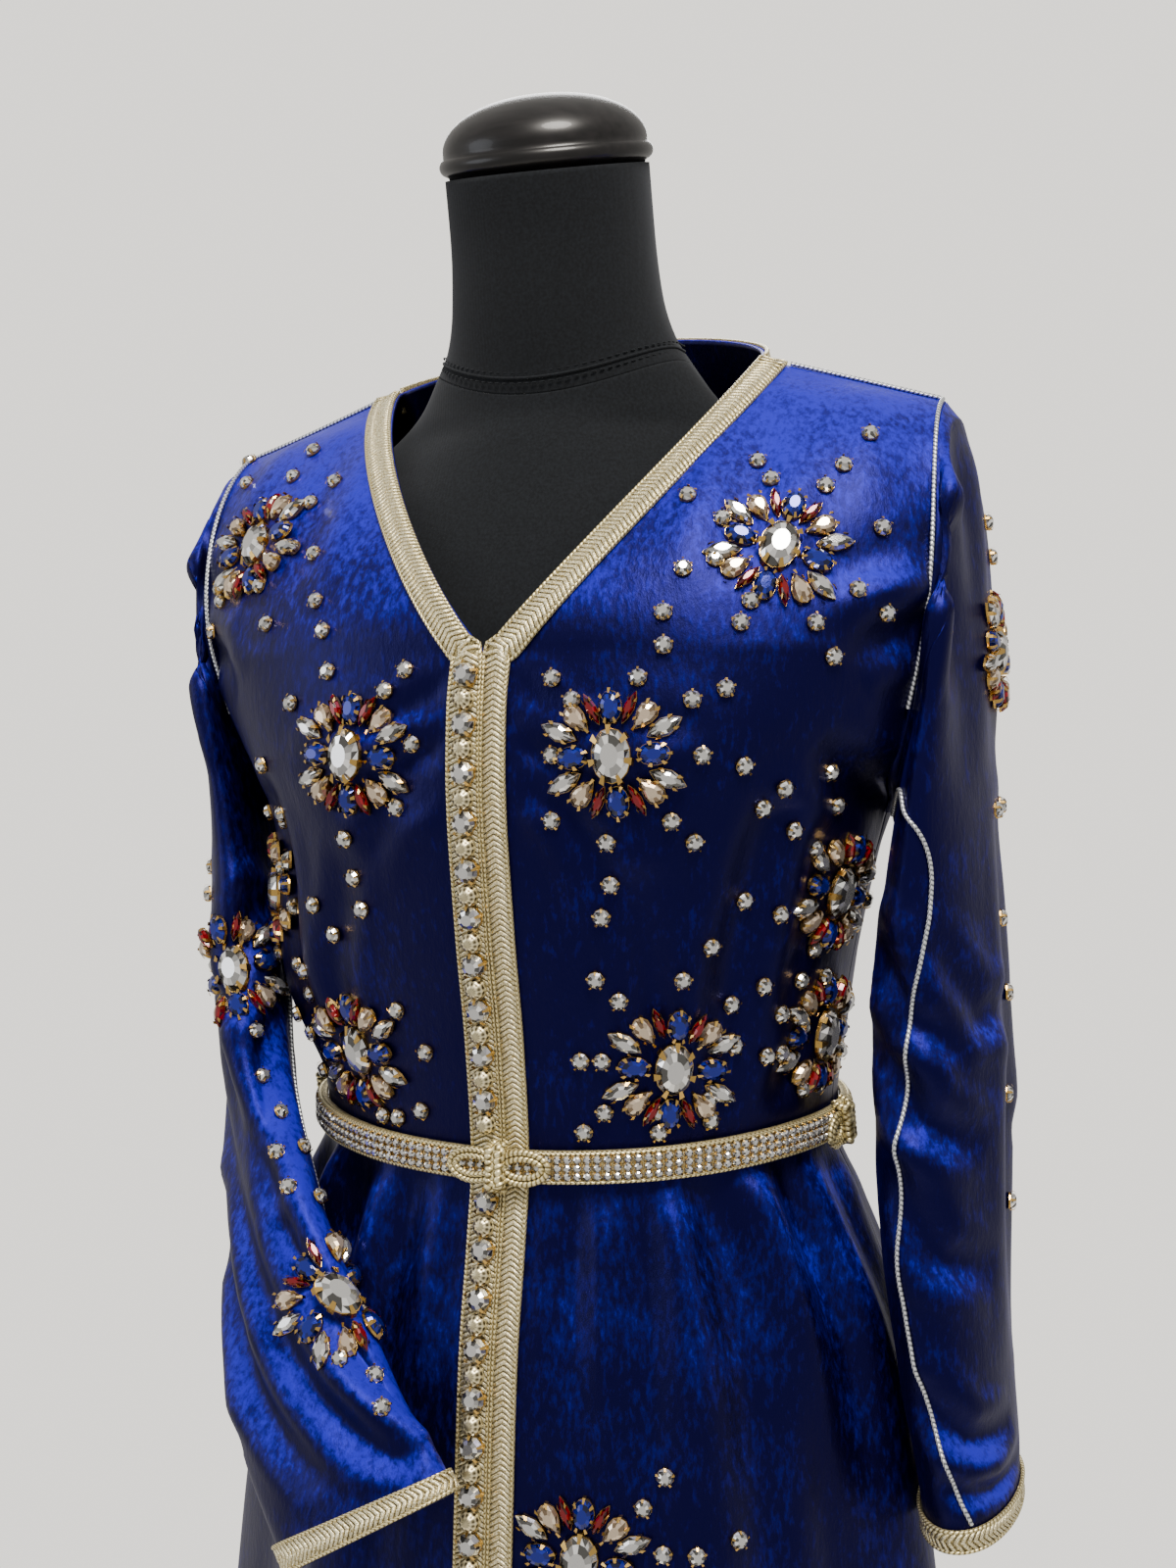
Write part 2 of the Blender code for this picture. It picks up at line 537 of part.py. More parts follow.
def back_braid():
    """The braid round the back of the neck."""
    near = 2 - BACK_COLUMNS[BACK_COLUMNS > 1.49]
    rows = []
    for sign, spots in ((1, near), (-1, near[::-1][1:])):
        u, level = np.meshgrid(2 - spots, LEVELS[-2:])
        rows.append((cloth(sign, u, level), cloth_normal(sign, u, level)))
    points = inset(np.concatenate([rows[0][0], rows[1][0]], 1), rows=(False, False), amount=SEAM)
    wall("braid_back_neck", points, np.concatenate([rows[0][1], rows[1][1]], 1), BRAID_IN, BRAID_OUT, "braid")


def cuff_braid(side):
    turn, down = np.meshgrid(ARM_TURNS, SLEEVE_ROWS[-2:])
    name = "braid_cuff_left" if side > 0 else "braid_cuff_right"
    wall(name, sleeve(side, turn, down), sleeve_normal(side, turn, down), BRAID_IN, BRAID_OUT, "braid", closed=True)


PIPING_IN = 0.985          # the armhole's piping lies just inside the panel's edge, which is u = 1


def pipings(side):
    """Fine silver cord on the shoulder seam, round the armhole and down the sleeve's seam."""
    hand = "left" if side > 0 else "right"
    proud = CLOTH / 2 + SEAM + PIPING_RADIUS
    u = np.linspace(0.17, 0.955, 8)
    cord("piping_shoulder_" + hand, cloth(side, u, 2.0) + cloth_normal(side, u, 2.0) * proud,
         PIPING_RADIUS, "silver")
    turn = np.concatenate([ARM_TURNS[ARM_TURNS > 205] - 360, ARM_TURNS[ARM_TURNS < 155]])
    level = 2 - np.abs(turn) / 180 * (2 - UNDERARM_V)
    u = np.where(turn < 0, 2 - PIPING_IN, PIPING_IN)
    cord("piping_armhole_" + hand, cloth(side, u, level) + cloth_normal(side, u, level) * (proud + 0.0003),
         PIPING_RADIUS, "silver")
    down, turn = np.moveaxis(table_at(LEFT_SEAM if side > 0 else RIGHT_SEAM, np.linspace(0.05, 1, 20)), -1, 0)
    cord("piping_sleeve_" + hand, sleeve(side, turn, down) + sleeve_normal(side, turn, down) * (proud + 0.0006),
         PIPING_RADIUS, "silver")


# the sleeve's seam, from the underarm to the cuff: how far down, and how far round the tube
LEFT_SEAM = [
    # down  turn
    (0.06, 175.0),
    (0.20, 140.0),
    (0.34, 102.0),
    (0.44, 62.0),
    (0.54, 84.0),
    (0.64, 95.0),
    (0.74, 97.0),
    (0.84, 84.0),
    (0.94, 68.0),
]
RIGHT_SEAM = [
    # down  turn
    (0.06, 175.0),
    (0.35, 165.0),
    (0.65, 150.0),
    (0.94, 140.0),
]


def belt_z(u):
    """The belt's middle height, by place from centre front (0) to centre back (2)."""
    part = np.sin(np.radians(np.minimum(u, 1) * 90)) ** 2
    return np.where(u < 1, BELT_FRONT_Z + (BELT_SIDE_Z - BELT_FRONT_Z) * part,
                    BELT_SIDE_Z + (BELT_BACK_Z - BELT_SIDE_Z) * smooth(u - 1))


def level_of(side, u, z):
    """The v at which the body's surface is at height z, found by halving."""
    low, high = np.zeros_like(u), np.ones_like(u)
    for _ in range(30):
        middle = (low + high) / 2
        below = cloth(side, u, middle)[..., 2] < z
        low, high = np.where(below, middle, low), np.where(below, high, middle)
    return (low + high) / 2


BELT_IN = BRAID_OUT + SEAM + 0.0008
BELT_OUT = BELT_IN + BELT_THICK


def belt():
    rows, normals = [], []
    for shift in (-0.5, 0.0, 0.5):
        ring, out = [], []
        for sign, u in ((1, np.linspace(0, 2, 25)), (-1, np.linspace(2, 0, 25)[1:-1])):
            level = level_of(sign, u, belt_z(u) + shift * BELT_HEIGHT)
            middle = level_of(sign, u, belt_z(u))
            base, flat = cloth(sign, u, middle), cloth_normal(sign, u, middle) * np.array([1, 1, 0])
            base[:, 2] += shift * BELT_HEIGHT
            ring.append(base)
            out.append(flat / np.linalg.norm(flat, axis=-1, keepdims=True))
        rows.append(np.concatenate(ring))
        normals.append(np.concatenate(out))
    points, ways = np.stack(rows), np.stack(normals)
    points[[0, 2]] += ways[[0, 2]] * 0.0004
    wall("belt", points, ways, BELT_IN, BELT_OUT, "crystal", closed=True)


def belt_place(side, u, up, out):
    """A point of the belt: up from its middle, out from its face."""
    u = np.asarray(u, float)
    middle = level_of(side, u, belt_z(u))
    flat = cloth_normal(side, u, middle) * np.array([1, 1, 0])
    flat = flat / np.linalg.norm(flat, axis=-1, keepdims=True)
    return cloth(side, u, middle) + flat * (BELT_OUT + out)[..., None] + stack(0 * u, 0 * u, up)


KNOT_CORD = 0.0021


def knot(name, side, place, half_width, half_height):
    """A corded knot on the belt: one long eye of cord, lying on the belt's face."""
    turn = np.radians(np.arange(0, 360, 22.5))
    scale = half_width / 0.141 / 1.5708
    u = place + scale * np.cos(turn)
    signs = np.where(u < 0, -side, side)
    points = np.array([belt_place(sign, np.array([abs(spot)]), np.array([height]), np.array([KNOT_CORD + SEAM * 2]))[0]
                       for sign, spot, height in zip(signs, u, half_height * np.sin(turn))])
    cord(name, points, KNOT_CORD, "braid", cyclic=True)


def knot_bar(name, side, place, half_height):
    """The braided turns that bind a knot's middle."""
    heights = np.linspace(-half_height, half_height, 5)
    rings = []
    for height, wide in zip(heights, (0.0035, 0.0060, 0.0065, 0.0060, 0.0035)):
        ring = []
        for turn in np.radians(np.arange(0, 360, 45.0)):
            spot = place + wide * math.cos(turn) / 0.141 / 1.5708
            sign = -side if spot < 0 else side
            out = 2 * KNOT_CORD + 3 * SEAM + 0.0026 + 0.0022 * math.sin(turn)
            ring.append(belt_place(sign, np.array([abs(spot)]), np.array([height]), np.array([out]))[0])
        rings.append(np.array(ring))
    loft(name, rings, "braid")


BUTTON_X = 0.0066          # the buttons stand on the right-hand braid, beside the opening


def button_row(name, low_z, high_z):
    """Ball buttons that touch one another, as one beaded solid."""
    count = int((high_z - low_z) / BUTTON_PITCH)
    heights = high_z - BUTTON_PITCH * np.arange(0, count, 0.5)
    heights = np.append(heights, heights[-1] - BUTTON_PITCH * 0.25)
    radii = np.where(np.arange(len(heights)) % 2 == 1, BUTTON_RADIUS, BUTTON_RADIUS * 0.55)
    rings = []
    for z, radius in zip(heights, radii):
        zero = np.zeros(1)
        level = level_of(-1, zero, np.array([z]))
        u = across(-1, np.array([level[0], level[0] + 0.01]), BUTTON_X)[:1]
        base = cloth(-1, u, level)[0]
        normal = cloth_normal(-1, u, level)[0]
        side_way = np.cross(normal, [0, 0, 1])
        centre = base + normal * (BRAID_OUT + SEAM + BUTTON_RADIUS)
        turns = np.radians(np.arange(0, 360, 60.0) + 30)
        rings.append(np.array([centre + side_way * radius * math.cos(turn) + normal * radius * math.sin(turn)
                               for turn in turns]))
    loft(name, rings, "crystal")


SPOKES = 16


def flower_faces():
    """Faces of a flower's underside: a middle point, an inner ring and an outer ring."""
    faces = []
    for spoke in range(SPOKES):
        after = (spoke + 1) % SPOKES
        near, far, near_after, far_after = 1 + spoke, 1 + SPOKES + spoke, 1 + after, 1 + SPOKES + after
        faces += [(0, near, near_after), (near, far, far_after), (near, far_after, near_after)]
    return faces


def flower_base(shape, centre, right, up, out):
    """Points of a flower's underside, laid on the cloth and lifted until its flat faces clear the cloth."""
    def drop(point):
        hit = shape.ray_cast(Vector(point + out * 0.05), Vector(-out), 0.12)[0]
        return np.array(hit) if hit else point

    points = []
    for reach in (0.0, 0.5, 1.0):
        for spoke in range(SPOKES if reach else 1):
            turn = math.radians(360 / SPOKES * spoke)
            radius = reach * FLOWER_RADIUS * (1.0 if spoke % 2 or reach < 1 else 0.78)
            points.append(drop(centre + (right * math.cos(turn) + up * math.sin(turn)) * radius))
    sunk = 0.0
    for one, two, three in flower_faces():
        for shares in ((0.5, 0.5, 0.0), (0.0, 0.5, 0.5), (0.5, 0.0, 0.5), (0.34, 0.33, 0.33), (0.6, 0.2, 0.2),
                       (0.2, 0.6, 0.2), (0.2, 0.2, 0.6)):
            sample = points[one] * shares[0] + points[two] * shares[1] + points[three] * shares[2]
            sunk = max(sunk, float((drop(sample) - sample) @ out))
    return [point + out * (sunk + 0.0006) for point in points]


def flower(name, carrier, side, place):
    """A gem flower: an eight-pointed low dome that follows the cloth under it."""
    surface, normal = (cloth, cloth_normal) if carrier == "body" else (sleeve, sleeve_normal)
    first, second = np.array([place[0]]), np.array([place[1]])
    centre, out = surface(side, first, second)[0], normal(side, first, second)[0]
    right = np.cross([0, 0, 1], out)
    right = right / np.linalg.norm(right)
    bottoms = flower_base(SKINS[carrier, side], centre, right, np.cross(out, right), out)
    heights = [1.0] + [0.85] * SPOKES + [0.45] * SPOKES
    tops = [point + out * FLOWER_HEIGHT * height for point, height in zip(bottoms, heights)]
    count = len(tops)
    faces = [list(face) for face in flower_faces()]
    faces += [[index + count for index in reversed(face)] for face in flower_faces()]
    for spoke in range(SPOKES):
        one, two = 1 + SPOKES + spoke, 1 + SPOKES + (spoke + 1) % SPOKES
        faces.append([two, one, one + count, two + count])
    mesh_object("flower_" + name, tops + bottoms, faces, "gem")


SKINS = {}


def skin_of(thing):
    """The tree of a panel's faces, for laying things on it."""
    shape = bmesh.new()
    shape.from_mesh(thing.data)
    tree = BVHTree.FromBMesh(shape)
    shape.free()
    return tree


# ---- the form ----------------------------------------------------------------------------------------------

def form_rings(rows, count, steps, top_bow):
    """Closed level rings; the bow of their edge goes from 2, rounded, to the given power at the top, 1 being flat."""
    rings = []
    for place in np.linspace(0, 1, steps):
        z_front, z_side, z_back, half, front, back, y_mid, corner = table_at(rows, np.array([place]))[0]
        ring = []
        for turn in np.radians(np.arange(0, 360, 360 / count)):
            ahead = math.cos(turn)
            z = z_side + ((z_front if ahead > 0 else z_back) - z_side) * abs(ahead) ** (2 + (top_bow - 2) * place)
            full = 1 + corner * math.sin(2 * turn) ** 2
            depth = (front if ahead > 0 else back) * ahead * full
            ring.append((half * math.sin(turn) * full, y_mid - depth, z))
        rings.append(np.array(ring))
    return rings


def form():
    torso = form_rings(TORSO, 20, 22, 2)
    loft("form_torso", torso, "jersey")
    neck = form_rings(NECK, 20, 7, 1)
    loft("form_neck", [ring + np.array([0, 0, SEAM]) for ring in neck], "jersey")


def turned(name, profile, kind, segments=20):
    """A turned solid: a profile of radius and height, from top to bottom."""
    mesh = bpy.data.meshes.new(name)
    mesh.from_pydata([(radius, 0.0, z) for radius, z in profile], [(i, i + 1) for i in range(len(profile) - 1)], [])
    thing = add_object(name, mesh, kind)
    screw = thing.modifiers.new("turn", "SCREW")
    screw.axis = "Z"
    screw.steps = screw.render_steps = segments
    screw.use_merge_vertices = True
    screw.merge_threshold = 0.0001
    return thing


def cap():
    """The lacquered wooden cap on the neck's sloping top."""
    profile = [(0.0, 0.037)]
    for turn in np.radians(np.linspace(12, 90, 7)):
        profile.append((0.0525 * math.sin(turn), 0.010 + 0.027 * math.cos(turn)))
    profile += [(0.0533, 0.007), (0.0525, 0.002), (0.0505, 0.0), (0.0, 0.0)]
    thing = turned("form_cap", profile, "wood")
    thing.location = (CAP_CENTRE[0], CAP_CENTRE[1], CAP_CENTRE[2])
    thing.rotation_euler = (CAP_TILT, 0.0, 0.0)


def stand():
    base = [(0.0, BASE_THICK), (BASE_RADIUS - 0.012, BASE_THICK), (BASE_RADIUS - 0.003, BASE_THICK - 0.004),
            (BASE_RADIUS, BASE_THICK - 0.009), (BASE_RADIUS, 0.0), (0.0, 0.0)]
    turned("form_base", base, "steel", 32)
    top = TORSO[0][0] - SEAM
    pole = [(0.0, top), (POLE_RADIUS, top), (POLE_RADIUS, BASE_THICK + SEAM), (0.0, BASE_THICK + SEAM)]
    turned("form_pole", pole, "steel", 16)


def build():
    for side in (1, -1):
        SKINS["body", side] = skin_of(front_panel(side))
        SKINS["sleeve", side] = skin_of(sleeve_tube(side))
        front_braid(side)
        cuff_braid(side)
        pipings(side)
    back_panel()
    back_braid()
    belt()
    knot("belt_knot_front", 1, 0.0, 0.027, 0.0072)
    knot_bar("belt_braid_front", 1, 0.0, 0.0115)
    for side, hand in ((1, "left"), (-1, "right")):
        knot("belt_knot_" + hand, side, 0.93, 0.018, 0.0072)
        knot_bar("belt_braid_" + hand, side, 0.93, 0.0115)
    button_row("buttons_upper", BELT_FRONT_Z + 0.0135, 1.262)
    button_row("buttons_lower", 0.055, BELT_FRONT_Z - 0.0135)
    for entry in FLOWERS:
        flower(*entry)
    form()
    cap()
    stand()


clear_scene()
PARTS = bpy.data.collections.new("Moroccan kaftan")
bpy.context.scene.collection.children.link(PARTS)
build()
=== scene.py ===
"""A Moroccan velvet kaftan on a dress form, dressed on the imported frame: cloth, braids, stones and stage.

Metres, +Z up, the wearer faces -Y and their left is +X. The garment's body is one surface, cloth(side, u, v):
u runs from centre front (0) over the side seam (1) to centre back (2), and v from the hem (0) to the chest
line (1) and on to the shoulder seam (2). A sleeve is sleeve(side, turn, down).
"""
import math

import bmesh
import bpy
import numpy as np
from mathutils import Matrix, Vector


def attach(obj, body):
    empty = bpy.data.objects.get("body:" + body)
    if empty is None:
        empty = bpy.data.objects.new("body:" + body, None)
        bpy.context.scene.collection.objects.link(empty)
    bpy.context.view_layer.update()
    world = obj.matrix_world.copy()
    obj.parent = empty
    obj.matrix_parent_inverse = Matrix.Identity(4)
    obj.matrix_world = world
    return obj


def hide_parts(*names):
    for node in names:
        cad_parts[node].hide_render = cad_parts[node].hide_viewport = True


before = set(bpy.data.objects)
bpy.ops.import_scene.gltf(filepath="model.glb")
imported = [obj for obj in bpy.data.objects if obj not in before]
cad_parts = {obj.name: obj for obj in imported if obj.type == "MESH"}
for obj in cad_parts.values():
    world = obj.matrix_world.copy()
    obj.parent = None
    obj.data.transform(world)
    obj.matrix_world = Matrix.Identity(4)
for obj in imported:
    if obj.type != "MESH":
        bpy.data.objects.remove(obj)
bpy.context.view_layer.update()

bl_info = {
    "name": "Moroccan kaftan on a dress form",
    "version": (1, 0, 0),
    "blender": (4, 5, 0),
    "location": "View3D > Sidebar > Kaftan",
    "description": "Builds the kaftan's velvet, braids, buttons, stones and belt on a dress form",
    "category": "Add Mesh",
}

MM = 0.001

# ---- sizes shared with the frame -----------------------------------------------------------------------------

CLOTH = 0.0020            # thickness of the velvet
SEAM = 0.0003             # gap between two pieces
HEAD_OUT = 0.0036         # how far a sleeve head stands off the underarm, where the cloth turns back on itself
BRAID_WIDTH = 0.0150      # the metallic braid round the neck
OPENING_LEFT = 0.0130     # the braid down the left front
OPENING_RIGHT = 0.0170    # the braid down the right front, under the buttons
BRAID_THICK = 0.0013
PIPING_RADIUS = 0.0011
PIPING_IN = 0.985         # the armhole's piping lies just inside the panel's edge, which is u = 1
BELT_HEIGHT = 0.0155
BELT_THICK = 0.0042
BUTTON_RADIUS = 0.0049
BUTTON_X = 0.0066         # the buttons stand on the right-hand braid, beside the opening
KNOT_CORD = 0.0021
POLE_RADIUS = 0.0125
BASE_RADIUS = 0.165
BASE_THICK = 0.016
BRAID_IN = CLOTH / 2 + SEAM
BRAID_OUT = BRAID_IN + BRAID_THICK
BELT_IN = BRAID_OUT + SEAM + 0.0008
BELT_OUT = BELT_IN + BELT_THICK

# named places on the garment
NECK_POINT = (0.100, -0.008, 1.418)       # where the shoulder seam meets the neck
SHOULDER_POINT = (0.193, 0.000, 1.392)    # where the shoulder seam meets the armhole
NAPE = (0.076, 1.449)                     # back of the neck: y, z
RIGHT_RIBS = 0.015                        # how much fuller the right side hangs at the ribs
RIGHT_DROP = 0.009                        # how much lower the right shoulder hangs than the left
WAIST_RADIUS = 0.141                      # the waist as a circle of the same length
BELT_FRONT_Z = 1.023
BELT_SIDE_Z = 1.034
BELT_BACK_Z = 1.040

# body sections from the hem to the chest: height at the centre and at the side, half width, depth to the
# front and to the back of the mid line, mid line's y, fullness of the corners, and the last angle of the
# front and back panels (90 is the side seam, less is the armhole)
BODY = [
    # z_mid  z_side  half_w  front   back    y_mid  corner  cut
    (0.045, 0.045, 0.258, 0.215, 0.218, 0.010, 0.00, 90.0),
    (0.250, 0.250, 0.238, 0.194, 0.200, 0.010, 0.00, 90.0),
    (0.470, 0.470, 0.217, 0.172, 0.182, 0.010, 0.01, 90.0),
    (0.680, 0.680, 0.198, 0.153, 0.168, 0.008, 0.02, 90.0),
    (0.840, 0.843, 0.181, 0.140, 0.156, 0.006, 0.03, 90.0),
    (0.930, 0.936, 0.167, 0.130, 0.138, 0.004, 0.03, 90.0),
    (0.985, 0.993, 0.147, 0.117, 0.114, 0.002, 0.03, 90.0),
    (1.025, 1.034, 0.134, 0.109, 0.100, 0.000, 0.03, 90.0),
    (1.080, 1.086, 0.140, 0.115, 0.106, 0.000, 0.03, 90.0),
    (1.135, 1.140, 0.150, 0.126, 0.113, 0.000, 0.03, 90.0),
    (1.190, 1.190, 0.163, 0.134, 0.117, 0.000, 0.03, 90.0),
    (1.211, 1.208, 0.174, 0.135, 0.118, 0.000, 0.03, 77.0),
    (1.237, 1.234, 0.189, 0.134, 0.118, 0.000, 0.03, 71.0),
    (1.269, 1.269, 0.202, 0.130, 0.117, 0.000, 0.03, 68.0),
]
UNDERARM_ROW = 10

# soft vertical folds of the skirt: side (+1 left, -1 right), place from centre front (0) by the side seam (1)
# to centre back (2), depth at the hem, width in the same units
SKIRT_FOLDS = [
    # side  place  depth   width
    (+1, 0.34, 0.012, 0.10),
    (+1, 0.62, -0.010, 0.10),
    (+1, 0.86, 0.014, 0.11),
    (+1, 1.18, -0.012, 0.12),
    (+1, 1.45, 0.014, 0.11),
    (+1, 1.74, -0.010, 0.12),
    (-1, 0.30, 0.011, 0.09),
    (-1, 0.56, -0.012, 0.11),
    (-1, 0.82, 0.013, 0.10),
    (-1, 1.12, -0.011, 0.12),
    (-1, 1.40, 0.015, 0.12),
    (-1, 1.70, -0.012, 0.11),
]

# sleeve sections from just past the armhole to the cuff. The section's thin axis joins an inner point near the
# body and an outer one; its long axis points to the front, turned in plan towards the body, and lifted in front.
# bend carries the front and back of a section outwards, round the shoulder.
LEFT_SLEEVE = [
    # in_x   in_z   out_x  out_z   y       front_half turn  lift  bend
    (0.1680, 1.1870, 0.1990, 1.3830, 0.000, 0.0530, 0.0, 0.0, 0.0120),
    (0.1710, 1.1820, 0.2050, 1.3550, 0.000, 0.0550, 2.0, 0.0, 0.0110),
    (0.1710, 1.1720, 0.2090, 1.3000, -0.002, 0.0550, 5.0, 0.0, 0.0080),
    (0.1700, 1.1500, 0.2120, 1.2200, -0.004, 0.0540, 8.0, 0.0, 0.0030),
    (0.1670, 1.1100, 0.2180, 1.1400, -0.006, 0.0520, 12.0, 0.0, 0.0),
    (0.1660, 1.0500, 0.2230, 1.0620, -0.008, 0.0490, 14.0, 0.0, 0.0),
    (0.1690, 0.9850, 0.2230, 0.9900, -0.010, 0.0480, 14.0, 0.0, 0.0),
    (0.1780, 0.9200, 0.2250, 0.9220, -0.014, 0.0460, 10.0, -3.0, 0.0),
    (0.1860, 0.8720, 0.2300, 0.8740, -0.018, 0.0430, 5.0, -8.0, 0.0),
    (0.1890, 0.8500, 0.2310, 0.8520, -0.020, 0.0420, 2.0, -12.0, 0.0),
]
RIGHT_SLEEVE = [
    # in_x   in_z   out_x  out_z   y       front_half turn  lift  bend
    (0.1680, 1.1870, 0.2000, 1.3740, 0.000, 0.0540, 0.0, 0.0, 0.0130),
    (0.1710, 1.1820, 0.2070, 1.3470, 0.000, 0.0570, 3.0, 0.0, 0.0120),
    (0.1710, 1.1720, 0.2110, 1.2950, -0.003, 0.0560, 7.0, 0.0, 0.0080),
    (0.1700, 1.1500, 0.2100, 1.2200, -0.010, 0.0540, 13.0, 0.0, 0.0020),
    (0.1640, 1.1080, 0.2030, 1.1340, -0.026, 0.0510, 20.0, 0.0, 0.0),
    (0.1480, 1.0500, 0.1840, 1.0600, -0.054, 0.0490, 28.0, 2.0, 0.0),
    (0.1210, 0.9950, 0.1560, 1.0010, -0.090, 0.0490, 44.0, 6.0, 0.0),
    (0.0960, 0.9460, 0.1300, 0.9520, -0.121, 0.0500, 62.0, 13.0, 0.0),
    (0.0700, 0.9070, 0.1030, 0.9130, -0.145, 0.0500, 78.0, 20.0, 0.0),
    (0.0430, 0.8750, 0.0750, 0.8810, -0.161, 0.0480, 90.0, 26.0, 0.0),
    (0.0280, 0.8570, 0.0590, 0.8630, -0.169, 0.0460, 96.0, 29.0, 0.0),
]

# the form: section heights in front, at the side and behind, half width, depths, mid line's y, corner fullness
TORSO = [
    # z_front z_side z_back half_w front back  y_mid  corner
    (0.800, 0.800, 0.800, 0.142, 0.105, 0.120, 0.006, 0.0),
    (0.812, 0.812, 0.812, 0.158, 0.120, 0.136, 0.006, 0.0),
    (0.870, 0.870, 0.870, 0.158, 0.120, 0.134, 0.005, 0.0),
    (0.940, 0.940, 0.940, 0.146, 0.112, 0.118, 0.004, 0.0),
    (1.030, 1.030, 1.030, 0.121, 0.096, 0.088, 0.000, 0.0),
    (1.100, 1.100, 1.100, 0.130, 0.104, 0.094, 0.000, 0.0),
    (1.190, 1.190, 1.190, 0.149, 0.121, 0.104, 0.000, 0.0),
    (1.262, 1.262, 1.266, 0.164, 0.116, 0.102, 0.000, 0.0),
    (1.310, 1.316, 1.318, 0.168, 0.102, 0.092, -0.001, -0.04),
    (1.342, 1.346, 1.346, 0.152, 0.089, 0.084, -0.003, -0.08),
    (1.362, 1.366, 1.366, 0.128, 0.079, 0.078, -0.006, -0.12),
    (1.378, 1.382, 1.388, 0.102, 0.069, 0.074, -0.010, -0.12),
    (1.388, 1.398, 1.412, 0.081, 0.059, 0.071, -0.016, -0.05),
    (1.397, 1.417, 1.436, 0.067, 0.051, 0.068, -0.023, 0.0),
]
NECK = [
    # z_front z_side z_back half_w front back  y_mid  corner
    (1.397, 1.417, 1.436, 0.067, 0.051, 0.068, -0.023, 0.0),
    (1.412, 1.430, 1.448, 0.0595, 0.050, 0.060, -0.027, 0.0),
    (1.434, 1.449, 1.464, 0.0545, 0.050, 0.055, -0.032, 0.0),
    (1.466, 1.480, 1.493, 0.0520, 0.050, 0.054, -0.038, 0.0),
    (1.499, 1.513, 1.527, 0.0515, 0.052, 0.052, -0.045, 0.0),
]
CAP_TILT = math.atan2(0.014, 0.052)      # the neck's flat top slopes down to the front
CAP_CENTRE = (0.0, -0.045, 1.513 + 2.2 * SEAM)

# gem flowers: name, carrier, side, place. On the body the place is u, v; on a sleeve it is the angle round the
# tube (0 outside, 90 front edge) and the fraction of the way down.
FLOWERS = [
    # name            carrier  side  place
    ("shoulder_left", "body", +1, (0.545, 1.300)),
    ("bust_left", "body", +1, (0.280, 0.875)),
    ("side_left", "body", +1, (0.800, 0.710)),
    ("rib_left", "body", +1, (0.835, 0.608)),
    ("waist_left", "body", +1, (0.385, 0.600)),
    ("skirt_left", "body", +1, (0.160, 0.310)),
    ("shoulder_right", "body", -1, (0.660, 1.390)),
    ("bust_right", "body", -1, (0.300, 0.875)),
    ("side_right", "body", -1, (0.690, 0.705)),
    ("waist_right", "body", -1, (0.375, 0.600)),
    ("arm_left", "sleeve", +1, (-32.0, 0.300)),
    ("arm_right", "sleeve", -1, (5.0, 0.300)),
    ("elbow_right", "sleeve", -1, (75.0, 0.460)),
    ("forearm_right", "sleeve", -1, (82.0, 0.715)),
]


# ---- the cloth as a surface --------------------------------------------------------------------------------

def table_at(rows, place):
    """A table's columns at a place from 0 (first row) to 1 (last), on smooth curves that never overshoot."""
    data = np.array(rows, float)
    spot = np.clip(np.asarray(place, float), 0.0, 1.0) * (len(data) - 1)
    low = np.minimum(spot.astype(int), len(data) - 2)
    part = (spot - low)[..., None]
    step = np.diff(data, axis=0)
    slope = np.zeros_like(data)
    same = step[:-1] * step[1:] > 0
    slope[1:-1][same] = (2 * step[:-1] * step[1:] / np.where(same, step[:-1] + step[1:], 1.0))[same]
    slope[0], slope[-1] = step[0], step[-1]
    square, cube = part ** 2, part ** 3
    return (data[low] * (1 - 3 * square + 2 * cube) + slope[low] * (part - 2 * square + cube)
            + data[low + 1] * (3 * square - 2 * cube) + slope[low + 1] * (cube - square))


def smooth(value):
    value = np.clip(value, 0.0, 1.0)
    return value * value * (3 - 2 * value)


def hermite(start, start_way, end, end_way, part):
    square, cube = part ** 2, part ** 3
    return (start * (1 - 3 * square + 2 * cube) + start_way * (part - 2 * square + cube)
            + end * (3 * square - 2 * cube) + end_way * (cube - square))


def stack(x, y, z):
    return np.stack(np.broadcast_arrays(x, y, z), -1)


def unit(vectors):
    """Vectors made one long; a vector of no length stays so."""
    return vectors / np.maximum(np.linalg.norm(vectors, axis=-1, keepdims=True), 1e-12)


def ring_point(u, v):
    """The body below the chest, on the left half: u from 0 centre front to 2 centre back."""
    z_mid, z_side, half, front, back, y_mid, corner, cut = np.moveaxis(table_at(BODY, v), -1, 0)
    to_back = u > 1
    turn = np.radians(np.where(to_back, 2 - u, u) * cut)
    full = 1 + corner * np.sin(2 * turn) ** 2
    across = np.sin(turn) * full
    depth = np.where(to_back, back, -front) * np.cos(turn) * full
    z = z_mid + (z_side - z_mid) * np.clip(across, 0, 1) ** 2
    bust = 0.007 * np.exp(-((half * across - 0.085) / 0.050) ** 2 - ((z - 1.212) / 0.045) ** 2)
    return stack(half * across, y_mid + depth - np.where(to_back, 0, bust), z)


